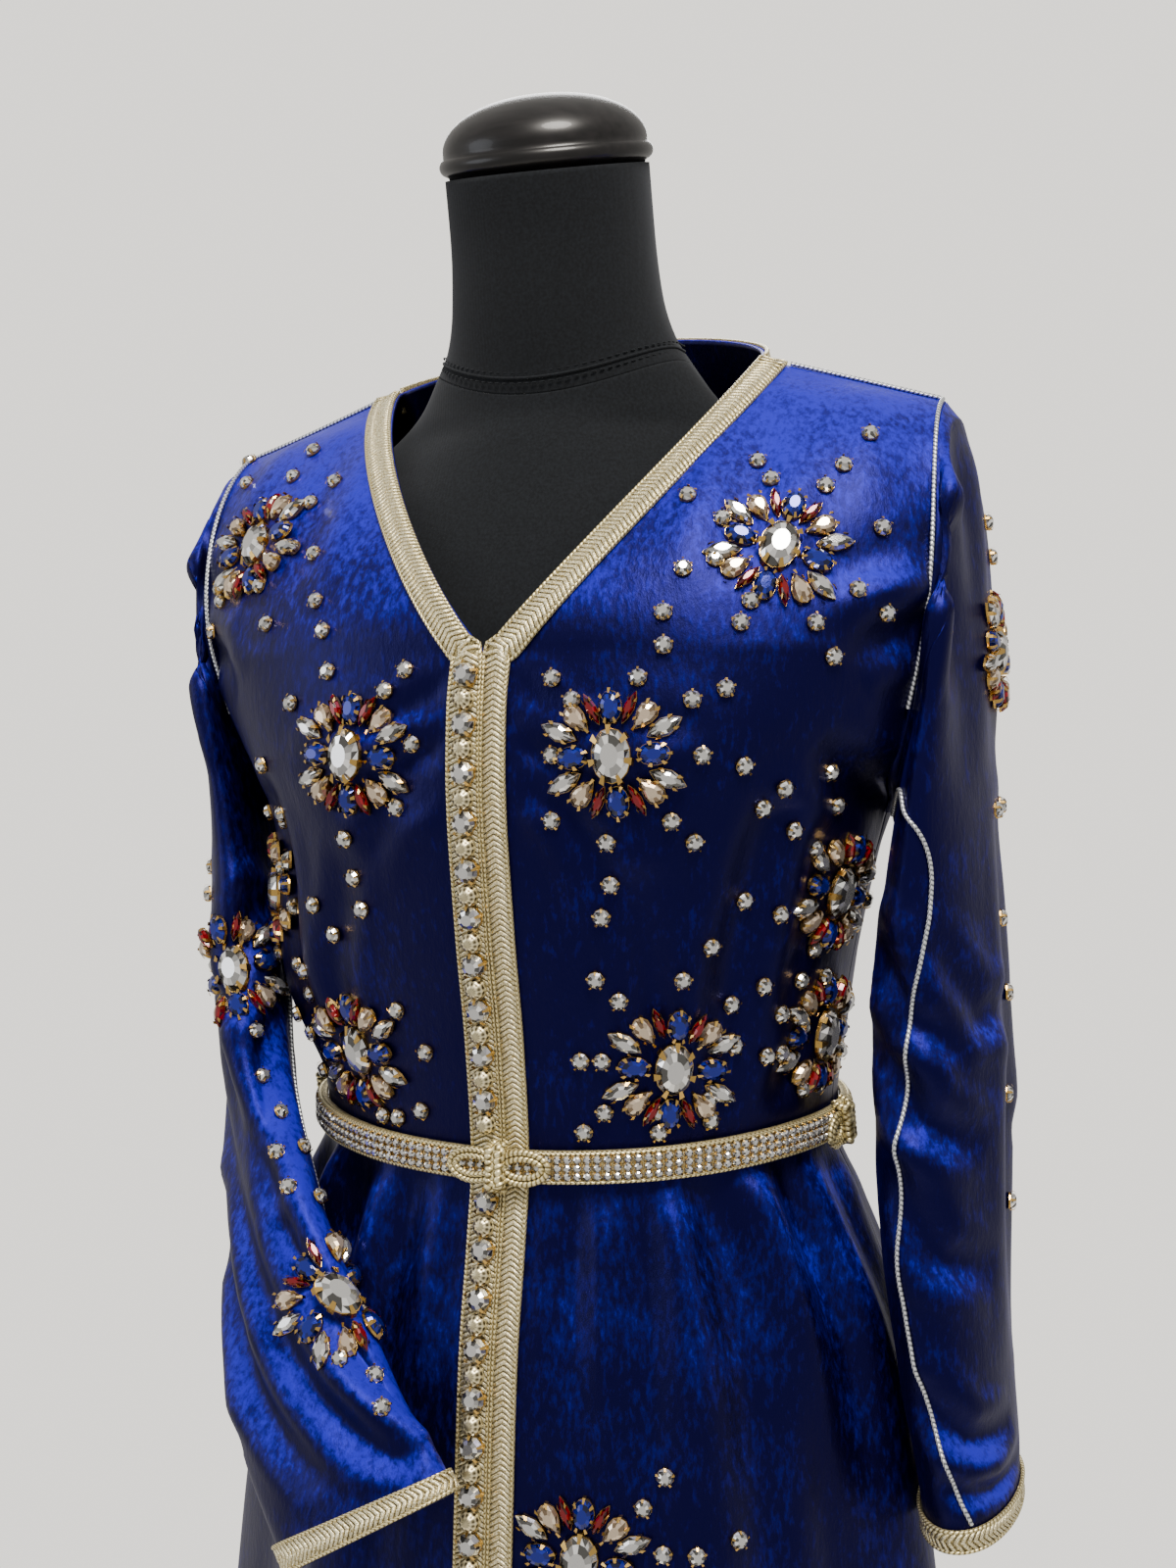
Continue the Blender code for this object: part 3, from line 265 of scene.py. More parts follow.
def yoke_point(u, w):
    """The body from the chest line (w = 0) to the shoulder seam and the neck (w = 1), on the left half."""
    neck, shoulder = np.array(NECK_POINT), np.array(SHOULDER_POINT)
    to_back = (u > 1)[..., None]
    near = np.where(u > 1, 2 - u, u)[..., None]
    start = ring_point(u, np.ones_like(u))
    front_end = neck + (shoulder - neck) * near
    arc = np.radians(90 * np.clip(near / 0.5, 0, 1))
    back_neck = np.concatenate([neck[0] * np.sin(arc), neck[1] + (NAPE[0] - neck[1]) * np.cos(arc),
                                neck[2] + (NAPE[1] - neck[2]) * np.cos(arc)], -1)
    back_end = np.where(near < 0.5, back_neck, neck + (shoulder - neck) * (2 * near - 1))
    end = np.where(to_back, back_end, front_end)
    edge = smooth(near / 0.55)
    arm = smooth((near - 0.6) / 0.4)
    front_start_way = (1 - edge) * np.array([0.110, 0.000, 0.110]) + edge * np.array([0.000, 0.030, 0.135])
    front_end_way = (1 - edge) * np.array([0.015, 0.135, 0.085]) + edge * np.array([0.000, 0.120, 0.035])
    front_start_way = front_start_way + arm * np.array([0.030, -0.050, -0.005])
    back_start_way = np.array([0.000, 0.000, 0.160]) + arm * np.array([0.030, 0.020, -0.020])
    rise = smooth((near - 0.25) / 0.35)
    back_end_way = (1 - rise) * np.array([0.000, -0.050, 0.110]) + rise * np.array([0.000, -0.120, 0.035])
    start_way = np.where(to_back, back_start_way, front_start_way)
    end_way = np.where(to_back, back_end_way, front_end_way)
    return hermite(start, start_way, end, end_way, w[..., None])


def fold_out(side, u, v):
    """How far the skirt's folds push the cloth out."""
    fade = smooth((0.52 - v) / 0.52) * 0.75 + smooth((0.56 - v) / 0.1) * 0.25
    total = np.zeros_like(u)
    for fold_side, place, depth, width in SKIRT_FOLDS:
        if fold_side == side:
            total = total + depth * np.exp(-((u - place) / width) ** 2)
    return total * fade


def cloth(side, u, v):
    """A point of the garment's body. side is +1 for the wearer's left half and -1 for the right half."""
    u, v = np.broadcast_arrays(np.asarray(u, float), np.asarray(v, float))
    low = ring_point(u, np.minimum(v, 1.0))
    if side < 0:
        fuller = RIGHT_RIBS * np.exp(-((low[..., 2] - 1.110) / 0.045) ** 2)
        low = low + stack(fuller * smooth(low[..., 0] / 0.120), 0, 0)
    high = yoke_point(u, np.clip(v - 1.0, 0.0, 1.0))
    if side < 0:
        sink = RIGHT_DROP * smooth(v - 1.0) * smooth(high[..., 0] / SHOULDER_POINT[0])
        high = high - stack(0, 0, sink)
    point = np.where((v > 1.0)[..., None], high, low)
    away = point * np.array([1.0, 1.0, 0.0])
    away = away / np.maximum(np.linalg.norm(away, axis=-1, keepdims=True), 1e-9)
    point = point + away * fold_out(side, u, v)[..., None]
    return point * np.array([side, 1.0, 1.0])


def cloth_normal(side, u, v):
    """The outward direction of the body, straight up out of the shoulder seam."""
    u, v = np.broadcast_arrays(np.asarray(u, float), np.asarray(v, float))
    small = 0.004
    floor_u = np.where(u > 1, 1.0, 0.0)
    left, right = np.maximum(u - small, floor_u), np.minimum(u + small, floor_u + 1)
    along_u = cloth(side, right, v) - cloth(side, left, v)
    top = np.clip(v + small, 0.0, 1.995)
    along_v = cloth(side, u, top) - cloth(side, u, top - 2 * small)
    normal = unit(np.cross(along_u, along_v) * side)
    slope = np.array(SHOULDER_POINT) - np.array(NECK_POINT)
    seam_up = np.array([-slope[2] * side, 0.0, slope[0]]) / math.hypot(slope[0], slope[2])
    back_neck = (u > 1) & (2 - u < 0.5)
    blend = (smooth((v - 1.93) / 0.07) * np.where(back_neck, 0.0, 1.0))[..., None]
    return unit(normal * (1 - blend) + seam_up * blend)


UNDERARM_V = UNDERARM_ROW / (len(BODY) - 1)


def armhole(side, turn):
    """Point and outward direction on the armhole's edge: turn is 0 at the shoulder, 90 in front, 180 below."""
    turn = np.mod(np.asarray(turn, float), 360.0)
    part = np.where(turn > 180, 360 - turn, turn) / 180
    level = 2 - part * (2 - UNDERARM_V)
    u = np.where(turn > 180, 1.0 + 1e-9, 1.0)
    return cloth(side, u, level), cloth_normal(side, u, level)


def sleeve(side, turn, down):
    """A point of a sleeve: turn round the tube in degrees, down from the armhole (0) to the cuff (1)."""
    turn, down = np.broadcast_arrays(np.asarray(turn, float), np.asarray(down, float))
    rows = LEFT_SLEEVE if side > 0 else RIGHT_SLEEVE
    first = 0.06
    in_x, in_z, out_x, out_z, y, front, plan, lift, bend = np.moveaxis(
        table_at(rows, (down - first) / (1 - first)), -1, 0)
    centre = stack((in_x + out_x) / 2, y, (in_z + out_z) / 2)
    plan, lift = np.radians(plan), np.radians(lift)
    half = (out_x - in_x) / 2
    thin = stack(half * np.cos(plan), -half * np.sin(plan), (out_z - in_z) / 2)
    long = stack(-front * np.sin(plan) * np.cos(lift), -front * np.cos(plan) * np.cos(lift),
                 front * np.sin(lift))
    angle = np.radians(turn)[..., None]
    tube = centre + thin * np.cos(angle) + long * np.sin(angle)
    tube = (tube + stack(bend, 0, 0) * np.sin(angle) ** 2) * np.array([side, 1.0, 1.0])
    head, _ = armhole(side, turn)
    blend = smooth(down / first)[..., None]
    return head * (1 - blend) + tube * blend


def sleeve_normal(side, turn, down):
    turn, down = np.broadcast_arrays(np.asarray(turn, float), np.asarray(down, float))
    around = sleeve(side, turn + 1.5, down) - sleeve(side, turn - 1.5, down)
    along = sleeve(side, turn, np.minimum(down + 0.004, 1.0)) - sleeve(side, turn, np.maximum(down - 0.004, 0.0))
    normal = unit(np.cross(around, along) * side)
    _, head = armhole(side, turn)
    blend = smooth(down / 0.05)[..., None]
    return unit(head * (1 - blend) + normal * blend)


def across(side, v, distance):
    """The u at which the surface lies this far from the opening's edge, square to that edge."""
    start = cloth(side, np.zeros_like(v), v)
    along_u = cloth(side, np.full_like(v, 0.02), v) - start
    step = unit(np.gradient(start, axis=0))
    square = np.linalg.norm(np.cross(along_u, step), axis=-1) / 0.02
    return distance / square


# the sleeve's seam, from the underarm to the cuff: how far down, and how far round the tube
LEFT_SEAM = [
    # down  turn
    (0.06, 175.0),
    (0.20, 140.0),
    (0.34, 102.0),
    (0.44, 62.0),
    (0.54, 84.0),
    (0.64, 95.0),
    (0.74, 97.0),
    (0.84, 84.0),
    (0.94, 68.0),
]
RIGHT_SEAM = [
    # down  turn
    (0.06, 175.0),
    (0.35, 165.0),
    (0.65, 150.0),
    (0.94, 140.0),
]


def belt_z(u):
    """The belt's middle height, by place from centre front (0) to centre back (2)."""
    part = np.sin(np.radians(np.minimum(u, 1) * 90)) ** 2
    return np.where(u < 1, BELT_FRONT_Z + (BELT_SIDE_Z - BELT_FRONT_Z) * part,
                    BELT_SIDE_Z + (BELT_BACK_Z - BELT_SIDE_Z) * smooth(u - 1))


def level_of(side, u, z):
    """The v at which the body's surface is at height z, found by halving."""
    low, high = np.zeros_like(u), np.ones_like(u)
    for _ in range(30):
        middle = (low + high) / 2
        below = cloth(side, u, middle)[..., 2] < z
        low, high = np.where(below, middle, low), np.where(below, high, middle)
    return (low + high) / 2


def belt_place(side, u, up, out):
    """A point of the belt: up from its middle, out from its face."""
    u = np.asarray(u, float)
    middle = level_of(side, u, belt_z(u))
    flat = unit(cloth_normal(side, u, middle) * np.array([1, 1, 0]))
    return cloth(side, u, middle) + flat * (BELT_OUT + out)[..., None] + stack(0 * u, 0 * u, up)


def form_rings(rows, count, steps, top_bow):
    """Closed level rings; the bow of their edge goes from 2, rounded, to the given power at the top, 1 being flat."""
    rings = []
    for place in np.linspace(0, 1, steps):
        z_front, z_side, z_back, half, front, back, y_mid, corner = table_at(rows, np.array([place]))[0]
        ring = []
        for turn in np.radians(np.arange(0, 360, 360 / count)):
            ahead = math.cos(turn)
            z = z_side + ((z_front if ahead > 0 else z_back) - z_side) * abs(ahead) ** (2 + (top_bow - 2) * place)
            full = 1 + corner * math.sin(2 * turn) ** 2
            depth = (front if ahead > 0 else back) * ahead * full
            ring.append((half * math.sin(turn) * full, y_mid - depth, z))
        rings.append(np.array(ring))
    return rings


# ---- soft creases --------------------------------------------------------------------------------------------

# creases of the body: side, start (u, v), middle, end, half width and depth in mm; minus is a trough
BODY_CREASES = [
    # side  start          middle         end            width  depth
    (+1, (0.07, 0.955), (0.20, 0.905), (0.36, 0.880), 7.0, -3.0),
    (+1, (0.07, 0.905), (0.17, 0.865), (0.30, 0.800), 8.0, -3.4),
    (+1, (0.07, 0.850), (0.16, 0.790), (0.26, 0.700), 8.0, -3.0),
    (+1, (0.10, 0.930), (0.26, 0.890), (0.48, 0.870), 8.0, 2.4),
    (+1, (0.30, 0.720), (0.34, 0.640), (0.36, 0.560), 9.0, -2.8),
    (+1, (0.56, 0.760), (0.52, 0.670), (0.50, 0.560), 11.0, -3.4),
    (+1, (0.66, 0.830), (0.60, 0.730), (0.57, 0.600), 11.0, 2.4),
    (+1, (0.80, 0.640), (0.72, 0.600), (0.66, 0.560), 8.0, -2.6),
    (+1, (0.97, 0.790), (0.84, 0.840), (0.72, 0.900), 12.0, -4.2),
    (+1, (0.99, 1.060), (0.86, 1.050), (0.74, 0.990), 10.0, -4.0),
    (+1, (0.98, 1.220), (0.84, 1.160), (0.70, 1.100), 11.0, 2.6),
    (+1, (0.30, 1.720), (0.40, 1.440), (0.48, 1.180), 13.0, -2.4),
    (+1, (0.62, 1.900), (0.70, 1.640), (0.76, 1.360), 13.0, 1.8),
    (+1, (0.30, 0.500), (0.29, 0.430), (0.27, 0.300), 10.0, -4.4),
    (+1, (0.46, 0.515), (0.47, 0.420), (0.48, 0.260), 12.0, -5.0),
    (+1, (0.58, 0.515), (0.61, 0.440), (0.64, 0.330), 10.0, 4.0),
    (+1, (0.70, 0.520), (0.72, 0.450), (0.74, 0.300), 11.0, -4.6),
    (+1, (0.84, 0.520), (0.86, 0.460), (0.90, 0.360), 11.0, -3.6),
    (+1, (0.16, 0.500), (0.15, 0.440), (0.14, 0.360), 8.0, -2.6),
    (+1, (1.20, 0.500), (1.22, 0.420), (1.24, 0.260), 12.0, -5.0),
    (+1, (1.42, 0.515), (1.43, 0.430), (1.45, 0.300), 11.0, 3.6),
    (+1, (1.62, 0.500), (1.61, 0.410), (1.60, 0.240), 13.0, -5.0),
    (+1, (1.84, 0.515), (1.85, 0.440), (1.88, 0.320), 11.0, -3.6),
    (+1, (1.30, 0.560), (1.33, 0.640), (1.38, 0.740), 10.0, -3.2),
    (+1, (1.64, 0.560), (1.62, 0.660), (1.58, 0.780), 11.0, -3.0),
    (+1, (1.04, 1.060), (1.18, 1.000), (1.34, 0.940), 12.0, -3.8),
    (+1, (1.06, 1.400), (1.20, 1.300), (1.38, 1.260), 13.0, -2.6),
    (-1, (0.09, 0.950), (0.22, 0.915), (0.38, 0.900), 7.0, -3.2),
    (-1, (0.10, 0.900), (0.19, 0.850), (0.32, 0.770), 8.0, -3.0),
    (-1, (0.09, 0.845), (0.17, 0.790), (0.28, 0.720), 8.0, -2.6),
    (-1, (0.12, 0.925), (0.28, 0.900), (0.50, 0.900), 8.0, 2.2),
    (-1, (0.32, 0.730), (0.37, 0.650), (0.38, 0.560), 9.0, -2.6),
    (-1, (0.60, 0.790), (0.55, 0.680), (0.52, 0.560), 11.0, -3.6),
    (-1, (0.80, 0.660), (0.74, 0.610), (0.68, 0.560), 9.0, -3.0),
    (-1, (0.99, 1.080), (0.88, 1.030), (0.76, 0.950), 11.0, -4.4),
    (-1, (0.99, 1.280), (0.86, 1.210), (0.72, 1.170), 10.0, -2.8),
    (-1, (0.34, 1.700), (0.43, 1.430), (0.50, 1.200), 13.0, -2.4),
    (-1, (0.66, 1.880), (0.72, 1.640), (0.78, 1.400), 12.0, 1.8),
    (-1, (0.24, 0.505), (0.23, 0.430), (0.21, 0.280), 10.0, -4.2),
    (-1, (0.40, 0.515), (0.41, 0.420), (0.42, 0.240), 12.0, -5.2),
    (-1, (0.52, 0.515), (0.53, 0.450), (0.55, 0.340), 10.0, 3.8),
    (-1, (0.66, 0.520), (0.68, 0.440), (0.70, 0.300), 11.0, -4.6),
    (-1, (0.82, 0.520), (0.85, 0.440), (0.88, 0.320), 12.0, -4.0),
    (-1, (1.16, 0.505), (1.17, 0.410), (1.19, 0.260), 12.0, -4.8),
    (-1, (1.36, 0.515), (1.38, 0.430), (1.40, 0.280), 12.0, 3.6),
    (-1, (1.56, 0.505), (1.55, 0.420), (1.53, 0.250), 12.0, -5.2),
    (-1, (1.78, 0.515), (1.79, 0.440), (1.81, 0.330), 10.0, -3.4),
    (-1, (1.26, 0.560), (1.30, 0.650), (1.36, 0.760), 11.0, -3.0),
    (-1, (1.60, 0.560), (1.59, 0.660), (1.56, 0.770), 10.0, -3.2),
    (-1, (1.04, 1.080), (1.17, 1.020), (1.32, 0.950), 12.0, -4.0),
    (-1, (1.06, 1.380), (1.22, 1.290), (1.40, 1.230), 13.0, -2.4),
]

# creases of the sleeves: side, start (turn, down), middle, end, half width and depth in mm
SLEEVE_CREASES = [
    # side  start          middle         end            width  depth
    (+1, (78, 0.050), (52, 0.170), (44, 0.330), 12.0, -6.0),
    (+1, (100, 0.060), (76, 0.170), (66, 0.300), 9.0, 4.5),
    (+1, (20, 0.080), (18, 0.240), (28, 0.400), 13.0, -4.0),
    (+1, (120, 0.460), (80, 0.530), (30, 0.560), 9.0, -5.0),
    (+1, (110, 0.540), (74, 0.600), (20, 0.630), 9.0, -5.5),
    (+1, (60, 0.490), (20, 0.540), (-20, 0.540), 9.0, -3.6),
    (+1, (100, 0.640), (60, 0.700), (10, 0.720), 9.0, -3.6),
    (+1, (90, 0.800), (50, 0.840), (0, 0.850), 8.0, -4.4),
    (+1, (70, 0.880), (30, 0.905), (-20, 0.900), 7.0, -3.6),
    (+1, (-30, 0.420), (-24, 0.620), (-30, 0.800), 12.0, -3.6),
    (+1, (200, 0.300), (230, 0.420), (250, 0.520), 11.0, -5.0),
    (+1, (240, 0.060), (262, 0.180), (280, 0.320), 12.0, -5.0),
    (+1, (250, 0.560), (280, 0.620), (310, 0.640), 10.0, -4.0),
    (+1, (200, 0.720), (240, 0.790), (280, 0.820), 9.0, -4.0),
    (-1, (84, 0.060), (60, 0.180), (48, 0.320), 12.0, -6.0),
    (-1, (110, 0.070), (90, 0.190), (80, 0.310), 9.0, 4.0),
    (-1, (24, 0.120), (22, 0.260), (34, 0.400), 13.0, -4.0),
    (-1, (120, 0.400), (84, 0.470), (34, 0.500), 10.0, -5.5),
    (-1, (130, 0.470), (90, 0.560), (50, 0.640), 9.0, -5.0),
    (-1, (20, 0.470), (34, 0.600), (60, 0.740), 10.0, -5.5),
    (-1, (-14, 0.520), (4, 0.660), (30, 0.800), 10.0, -4.6),
    (-1, (44, 0.660), (70, 0.780), (100, 0.880), 8.0, -4.4),
    (-1, (6, 0.760), (30, 0.860), (60, 0.930), 8.0, -3.8),
    (-1, (-40, 0.640), (-26, 0.780), (-4, 0.900), 9.0, -4.4),
    (-1, (240, 0.060), (262, 0.180), (282, 0.320), 12.0, -5.0),
    (-1, (220, 0.380), (262, 0.450), (310, 0.480), 10.0, -5.0),
    (-1, (210, 0.560), (250, 0.650), (300, 0.700), 10.0, -4.6),
    (-1, (190, 0.740), (230, 0.820), (280, 0.850), 9.0, -4.0),
]


BODY_CREASE_DEPTH = 1.35       # deepens every crease of the body's table
SLEEVE_CREASE_DEPTH = 1.3      # and of the sleeves'


def crease_push(surface, side, points, creases):
    """How far the creases of one side push these points along the cloth's normal."""
    push = np.zeros(points.shape[:-1])
    for crease_side, start, middle, end, width, depth in creases:
        if crease_side != side:
            continue
        first = np.array([start[0], middle[0], end[0]], float)
        second = np.array([start[1], middle[1], end[1]], float)
        run = np.linspace(0, 2, 13)
        path = surface(side, np.interp(run, (0, 1, 2), first), np.interp(run, (0, 1, 2), second))
        nearest = np.full(points.shape[:-1], 9.0)
        along = np.zeros(points.shape[:-1])
        for step in range(12):
            way = path[step + 1] - path[step]
            part = np.clip(((points - path[step]) @ way) / (way @ way), 0, 1)
            gap = np.linalg.norm(points - path[step] - part[..., None] * way, axis=-1)
            closer = gap < nearest
            nearest = np.where(closer, gap, nearest)
            along = np.where(closer, (step + part) / 12, along)
        fade = np.sin(np.pi * np.clip(0.12 + 0.88 * along, 0, 1)) ** 0.8
        reach = nearest / (width * MM)
        push += depth * MM * fade * (np.exp(-reach ** 2) - 0.45 * np.exp(-((reach - 1.9) / 0.8) ** 2))
    return push


def body_surface(side, u, v):
    """The body's cloth with its creases, and its outward direction. The edges under the braids stay plain."""
    u, v = np.broadcast_arrays(np.asarray(u, float), np.asarray(v, float))
    points, normals = cloth(side, u, v), cloth_normal(side, u, v)
    keep = smooth((u - 0.065) / 0.045) * smooth((2.0 - v) / 0.12)
    waist = 1 - np.exp(-((points[..., 2] - 1.03) / 0.014) ** 2)
    seam = 1 - 0.6 * np.exp(-((u - 1) / 0.02) ** 2)
    push = crease_push(cloth, side, points, BODY_CREASES) * keep * waist * seam * BODY_CREASE_DEPTH
    return points + normals * push[..., None], normals


def sleeve_surface(side, turn, down):
    """A sleeve's cloth with its creases, and its outward direction. Head and cuff stay plain."""
    turn, down = np.broadcast_arrays(np.asarray(turn, float), np.asarray(down, float))
    points, normals = sleeve(side, turn, down), sleeve_normal(side, turn, down)
    below = smooth((150 - np.abs(np.mod(turn, 360) - 180)) / 70)
    points = points.copy()
    points[..., 0] += side * HEAD_OUT * below * smooth(down / 0.012) * np.clip(1.2 - down / 0.08, 0, 1)
    keep = smooth((down - 0.015) / 0.05) * smooth((0.955 - down) / 0.05)
    push = crease_push(sleeve, side, points, SLEEVE_CREASES) * keep * SLEEVE_CREASE_DEPTH
    return points + normals * push[..., None], normals


# ---- materials -----------------------------------------------------------------------------------------------

def linear(code):
    """An sRGB hex colour as linear values."""
    values = [int(code[i:i + 2], 16) / 255 for i in (1, 3, 5)]
    return tuple(v / 12.92 if v <= 0.04045 else ((v + 0.055) / 1.055) ** 2.4 for v in values)


def add_node(tree, kind, settings=None, links=None):
    """Add a node; settings are its properties, its sockets' values or a colour ramp's stops as (position, colour),
    and links are socket: (node, output)."""
    node = tree.nodes.new(kind)
    for key, value in (settings or {}).items():
        if key == "stops":
            while len(node.color_ramp.elements) < len(value):
                node.color_ramp.elements.new(0.5)
            for element, (position, colour) in zip(node.color_ramp.elements, value):
                element.position = position
                element.color = (*colour, 1.0)
        elif isinstance(key, str) and hasattr(node, key):
            setattr(node, key, value)
        else:
            node.inputs[key].default_value = value
    for key, (source, output) in (links or {}).items():
        tree.links.new(source.outputs[output], node.inputs[key])
    return node


def new_material(name, settings):
    """A Principled material; settings are the shader's own sockets."""
    material = bpy.data.materials.new(name)
    material.use_nodes = True
    tree = material.node_tree
    shader = tree.nodes["Principled BSDF"]
    for key, value in settings.items():
        shader.inputs[key].default_value = value
    return material, tree, shader


def velvet():
    """Silk velvet with a short lustrous pile brushed downwards, random patches and crushed flecks. Its base colour
    holds painted light and shade: near black, as painted shade, where the cloth hangs upright or faces down, and
    royal blue, as painted light, where it faces up over the shoulders and sleeves."""
    colours = bpy.context.scene.kaftan_colours
    material, tree, shader = new_material("lustrous velvet, royal blue", {
        "Specular IOR Level": 0.55, "Specular Tint": (0.12, 0.11, 1.0, 1.0), "Sheen Weight": 0.04,
        "Sheen Roughness": 0.3, "Sheen Tint": (*colours.velvet_sheen, 1.0)})
    place = add_node(tree, "ShaderNodeTexCoord")
    lay = add_node(tree, "ShaderNodeMapping", {"Scale": (1.0, 1.0, 0.38)}, {"Vector": (place, "Object")})
    # patches of pile laid over by handling, 50 mm across, and crushed flecks, 3 mm across and 8 mm long
    patch = add_node(tree, "ShaderNodeTexNoise", {"Scale": 19.0, "Detail": 4.0, "Roughness": 0.62},
                     {"Vector": (place, "Object")})
    fleck = add_node(tree, "ShaderNodeTexNoise", {"Scale": 330.0, "Detail": 4.0, "Roughness": 0.7},
                     {"Vector": (lay, "Vector")})
    crushed = add_node(tree, "ShaderNodeMapRange", {"From Min": 0.38, "From Max": 0.66}, {"Value": (fleck, "Fac")})
    # painted light and shade: how far the surface faces up sets the colour, lighter where it faces up and near black
    # where it hangs upright or faces down
    slope = add_node(tree, "ShaderNodeNewGeometry")
    upward = add_node(tree, "ShaderNodeSeparateXYZ", None, {"Vector": (slope, "Normal")})
    painted_light_and_shade_by_slope = add_node(tree, "ShaderNodeMapRange", {"From Min": 0.0, "From Max": 0.75, "To Min": -0.46,
                                                  "To Max": 0.36}, {"Value": (upward, "Z")})
    # pile here is the random patches plus that painted light and shade
    pile = add_node(tree, "ShaderNodeMath", {"operation": "MULTIPLY_ADD", 1: 0.9},
                    {0: (patch, "Fac"), 2: (painted_light_and_shade_by_slope, "Result")})
    flecks_patches_and_painted_light = add_node(tree, "ShaderNodeMath", {"operation": "MULTIPLY_ADD", 1: 0.44},
                   {0: (crushed, "Result"), 2: (pile, "Value")})
    # the ramp runs from painted shade through the velvet's own royal blue to painted light, which the crushed flecks
    # also reach
    shade = add_node(tree, "ShaderNodeValToRGB",
                     {"stops": [(0.28, colours.velvet_painted_shade), (0.60, colours.velvet), (1.0, colours.velvet_painted_light_and_flecks)]},
                     {"Fac": (flecks_patches_and_painted_light, "Value")})
    tree.links.new(shade.outputs["Color"], shader.inputs["Base Color"])
    # pile that lies flat is glossier than pile that stands
    gloss = add_node(tree, "ShaderNodeMapRange", {"To Min": 0.30, "To Max": 0.50}, {"Value": (patch, "Fac")})
    tree.links.new(gloss.outputs["Result"], shader.inputs["Roughness"])
    soft = add_node(tree, "ShaderNodeTexNoise", {"Scale": 90.0, "Detail": 3.0}, {"Vector": (lay, "Vector")})
    total = add_node(tree, "ShaderNodeMath", {"operation": "MULTIPLY_ADD", 1: 0.9},
                     {0: (soft, "Fac"), 2: (fleck, "Fac")})
    bump = add_node(tree, "ShaderNodeBump", {"Strength": 0.34, "Distance": 0.0010}, {"Height": (total, "Value")})
    tree.links.new(bump.outputs["Normal"], shader.inputs["Normal"])
    return material


def metal_thread(name, colour, dark, per_metre):
    """Metal-wrapped thread twisted into a cord, its twist running slantwise: the thread's own colour on the ridges
    and a darker colour in the grooves, which is painted shade, over a bump of the same twist.
    """
    material, tree, shader = new_material(name, {"Roughness": 0.34, "Metallic": 0.75})
    run = add_node(tree, "ShaderNodeAttribute", {"attribute_name": "run"})
    turn = add_node(tree, "ShaderNodeAttribute", {"attribute_name": "turn"})
    twist = add_node(tree, "ShaderNodeMath", {"operation": "MULTIPLY_ADD", 1: per_metre},
                     {0: (run, "Fac"), 2: (turn, "Fac")})
    strand = add_node(tree, "ShaderNodeMath", {"operation": "PINGPONG", 1: 0.5}, {0: (twist, "Value")})
    # painted shade: the ramp darkens the grooves of the twist to the dark colour
    shade = add_node(tree, "ShaderNodeValToRGB",
                     {"stops": [(0.04, dark), (0.34, colour)]}, {"Fac": (strand, "Value")})
    tree.links.new(shade.outputs["Color"], shader.inputs["Base Color"])
    bump = add_node(tree, "ShaderNodeBump", {"Strength": 0.7, "Distance": 0.0006}, {"Height": (strand, "Value")})
    tree.links.new(bump.outputs["Normal"], shader.inputs["Normal"])
    return material


def flat_braid(name, colour, dark):
    """Sfifa braid of metallic thread: fine threads 0.7 mm apart on pale gold silk."""
    material, tree, shader = new_material(name, {"Roughness": 0.38, "Metallic": 0.80})
    place = add_node(tree, "ShaderNodeTexCoord")
    thread = add_node(tree, "ShaderNodeTexNoise", {"Scale": 1400.0, "Detail": 2.0}, {"Vector": (place, "Object")})
    shade = add_node(tree, "ShaderNodeValToRGB",
                     {"stops": [(0.35, dark), (0.60, colour)]}, {"Fac": (thread, "Fac")})
    tree.links.new(shade.outputs["Color"], shader.inputs["Base Color"])
    bump = add_node(tree, "ShaderNodeBump", {"Strength": 0.6, "Distance": 0.0005}, {"Height": (thread, "Fac")})
    tree.links.new(bump.outputs["Normal"], shader.inputs["Normal"])
    return material


def knotted_thread(name, colour, dark):
    """Metal thread knotted into a ball: the thread's own colour on the strands, and a darker colour in the grooves
    between them, which is painted shade.
    """
    material, tree, shader = new_material(name, {"Roughness": 0.34, "Metallic": 0.85})
    weave = add_node(tree, "ShaderNodeAttribute", {"attribute_name": "weave"})
    # painted shade: the ramp darkens the grooves of the weave
    shade = add_node(tree, "ShaderNodeValToRGB",
                     {"stops": [(0.30, dark), (0.62, colour)]}, {"Fac": (weave, "Fac")})
    tree.links.new(shade.outputs["Color"], shader.inputs["Base Color"])
    return material


def foiled_stone(name, light, dark, metallic):
    """A cut stone with foil behind it. Its facets differ in brightness by painted reflections: a brightness stored on
    each facet picks a colour between a dark and a light one.
    """
    material, tree, shader = new_material(name, {
        "Roughness": 0.05, "Metallic": metallic, "IOR": 1.54, "Coat Weight": 0.4, "Coat Roughness": 0.02})
    # painted reflection: each facet's stored brightness blends the stone's dark and light colours
    fire = add_node(tree, "ShaderNodeAttribute", {"attribute_name": "fire"})
    shade = add_node(tree, "ShaderNodeValToRGB",
                     {"stops": [(0.0, dark), (1.0, light)]}, {"Fac": (fire, "Fac")})
    tree.links.new(shade.outputs["Color"], shader.inputs["Base Color"])
    return material


def cast_metal(name, colour, roughness):
    """Plated stamped brass: smooth, with slight cloudiness."""
    material, tree, shader = new_material(name, {"Metallic": 1.0, "Base Color": (*colour, 1.0)})
    place = add_node(tree, "ShaderNodeTexCoord")
    cloud = add_node(tree, "ShaderNodeTexNoise", {"Scale": 300.0}, {"Vector": (place, "Object")})
    level = add_node(tree, "ShaderNodeMapRange", {"To Min": roughness - 0.06, "To Max": roughness + 0.08},
                     {"Value": (cloud, "Fac")})
    tree.links.new(level.outputs["Result"], shader.inputs["Roughness"])
    return material


